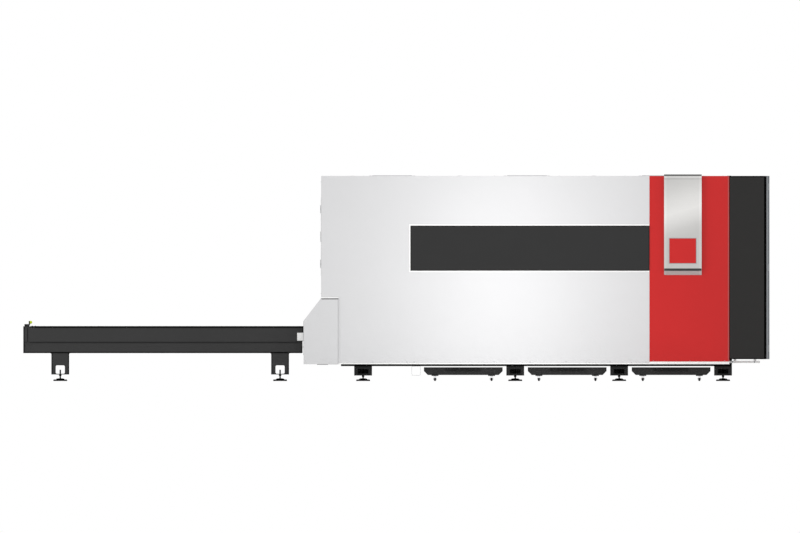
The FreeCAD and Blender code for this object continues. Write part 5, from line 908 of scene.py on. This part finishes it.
# ---------------------------------------------------------------- cabinets inside the bay
for node, side in (("electrical_cabinet", NEAR), ("laser_source", FAR)):
    low, high = span(node)
    face = high.x
    u0, u1 = sorted((abs(low.y), abs(high.y)))
    door = Shape()
    door.side_block(side, face, face + 4, u0 + 12, u1 - 12, low.z + 20, high.z - 20)
    door.piece("%s_door" % node, "root", "charcoal_frame", GREY_ENAMEL if side == FAR else BAY_COAT, 1.2)
    parts = Shape()
    for z in (low.z + 120, (low.z + high.z) / 2, high.z - 120):
        parts.turned((face + 4, side * (u0 + 40), z), 0, [(0, 4), (9, 4), (11, 3), (11, 0), (0, 0)], 20)
        parts.block((face + 7.6, side * (u0 + 40) - 1.5, z - 8), (face + 9, side * (u0 + 40) + 1.5, z + 8))
    for z in (low.z + 220, high.z - 220):
        parts.turned((face + 2, side * (u1 - 8), z - 30), 2, [(0, 0), (5, 0), (5, 60), (0, 60)], 16)
    parts.piece("%s_locks" % node, "root", "bright_steel", ZINC_PLATE, 0.3)
    grille = Shape()
    middle = side * (u0 + u1) / 2
    for z in (low.z + 170, high.z - 190):
        grille.frame((middle - 130, z - 75, middle + 130, z + 75),
                     (middle - 116, z - 61, middle + 116, z + 61), 0, face + 4, face + 9)
        for blade in spread(z - 50, z + 50, 8):
            slant = [(face + 4, blade - 5), (face + 8, blade - 5), (face + 5, blade + 5),
                     (face + 4, blade + 5)]
            grille.prism(slant, 1, middle - 116, middle + 116)
    grille.piece("%s_grilles" % node, "root", "castor_rubber", NYLON, 0.5)

# ---------------------------------------------------------------- scrap trays
GRIP_Z = 126
CASTOR_X, CASTOR_Y = 311, (-1040, 870)
for n in (1, 2, 3):
    tray = "tray_%d" % n
    low, high = span(tray)
    centre = (low.x + high.x) / 2
    grip = Shape()
    grip.turned((centre, low.y + 7, GRIP_Z), 0,
                [(7.2, -120), (9.5, -117), (9.5, 117), (7.2, 120)], 20, closed=True)
    for x in spread(-100, 100, 11):
        grip.turned((centre + x, low.y + 7, GRIP_Z), 0,
                    [(9.3, -3), (10.4, -1), (10.4, 1), (9.3, 3)], 20, closed=True)
    grip.piece("%s_grip" % tray, tray, "castor_rubber", RUBBER)
    fenders = Shape()
    for x in (centre - CASTOR_X, centre + CASTOR_X):
        for y in CASTOR_Y:
            for way in (-1, 1):
                fenders.prism([(y + way * 29, 34), (y + way * 31, 34), (y + way * 31, 54),
                               (y + way * 18, 55.5), (y + way * 18, 54), (y + way * 29, 52)],
                              0, x - 16, x + 16)
            for dx, dy in ((-22, -18), (-22, 18), (22, -18), (22, 18)):
                fenders.turned((x + dx, y + dy, 66), 2,
                               [(0, 3.4), (4.2, 3.4), (5, 2.6), (5, 0), (0, 0)], 12)
    fenders.piece("%s_castor_fenders" % tray, tray, "bright_steel", BRIGHT_ZINC, 0.3)


# ---------------------------------------------------------------- floor
floor_mesh = bpy.data.meshes.new("floor")
FLOOR_HALF = 40.0                      # metres
floor_corners = [(x * FLOOR_HALF, y * FLOOR_HALF, 0) for x, y in ((-1, -1), (1, -1), (1, 1), (-1, 1))]
floor_mesh.from_pydata(floor_corners, [], [(0, 1, 2, 3)])
FLOOR, floor_tree, floor_shader = start("pale_floor", Roughness=0.9)
floor_noise = add(floor_tree, "TexNoise", {}, {"Vector": add(floor_tree, "TexCoord").outputs["Object"],
                                               "Scale": scale_for(1500), "Detail": 3.0})
floor_tone = add(floor_tree, "ValToRGB", {"stops": [(0.3, linear("#ebebeb")), (0.7, linear("#f1f1f1"))]},
                 {0: floor_noise.outputs[0]})
floor_tree.links.new(floor_tone.outputs[0], floor_shader.inputs["Base Color"])
floor_mesh.materials.append(FLOOR)
floor = bpy.data.objects.new("floor", floor_mesh)
scene.collection.objects.link(floor)

world = bpy.data.worlds.new("studio")
world.use_nodes = True
world.node_tree.nodes["Background"].inputs[0].default_value = (1.0, 1.0, 1.0, 1.0)
world.node_tree.nodes["Background"].inputs[1].default_value = 1.0
scene.world = world
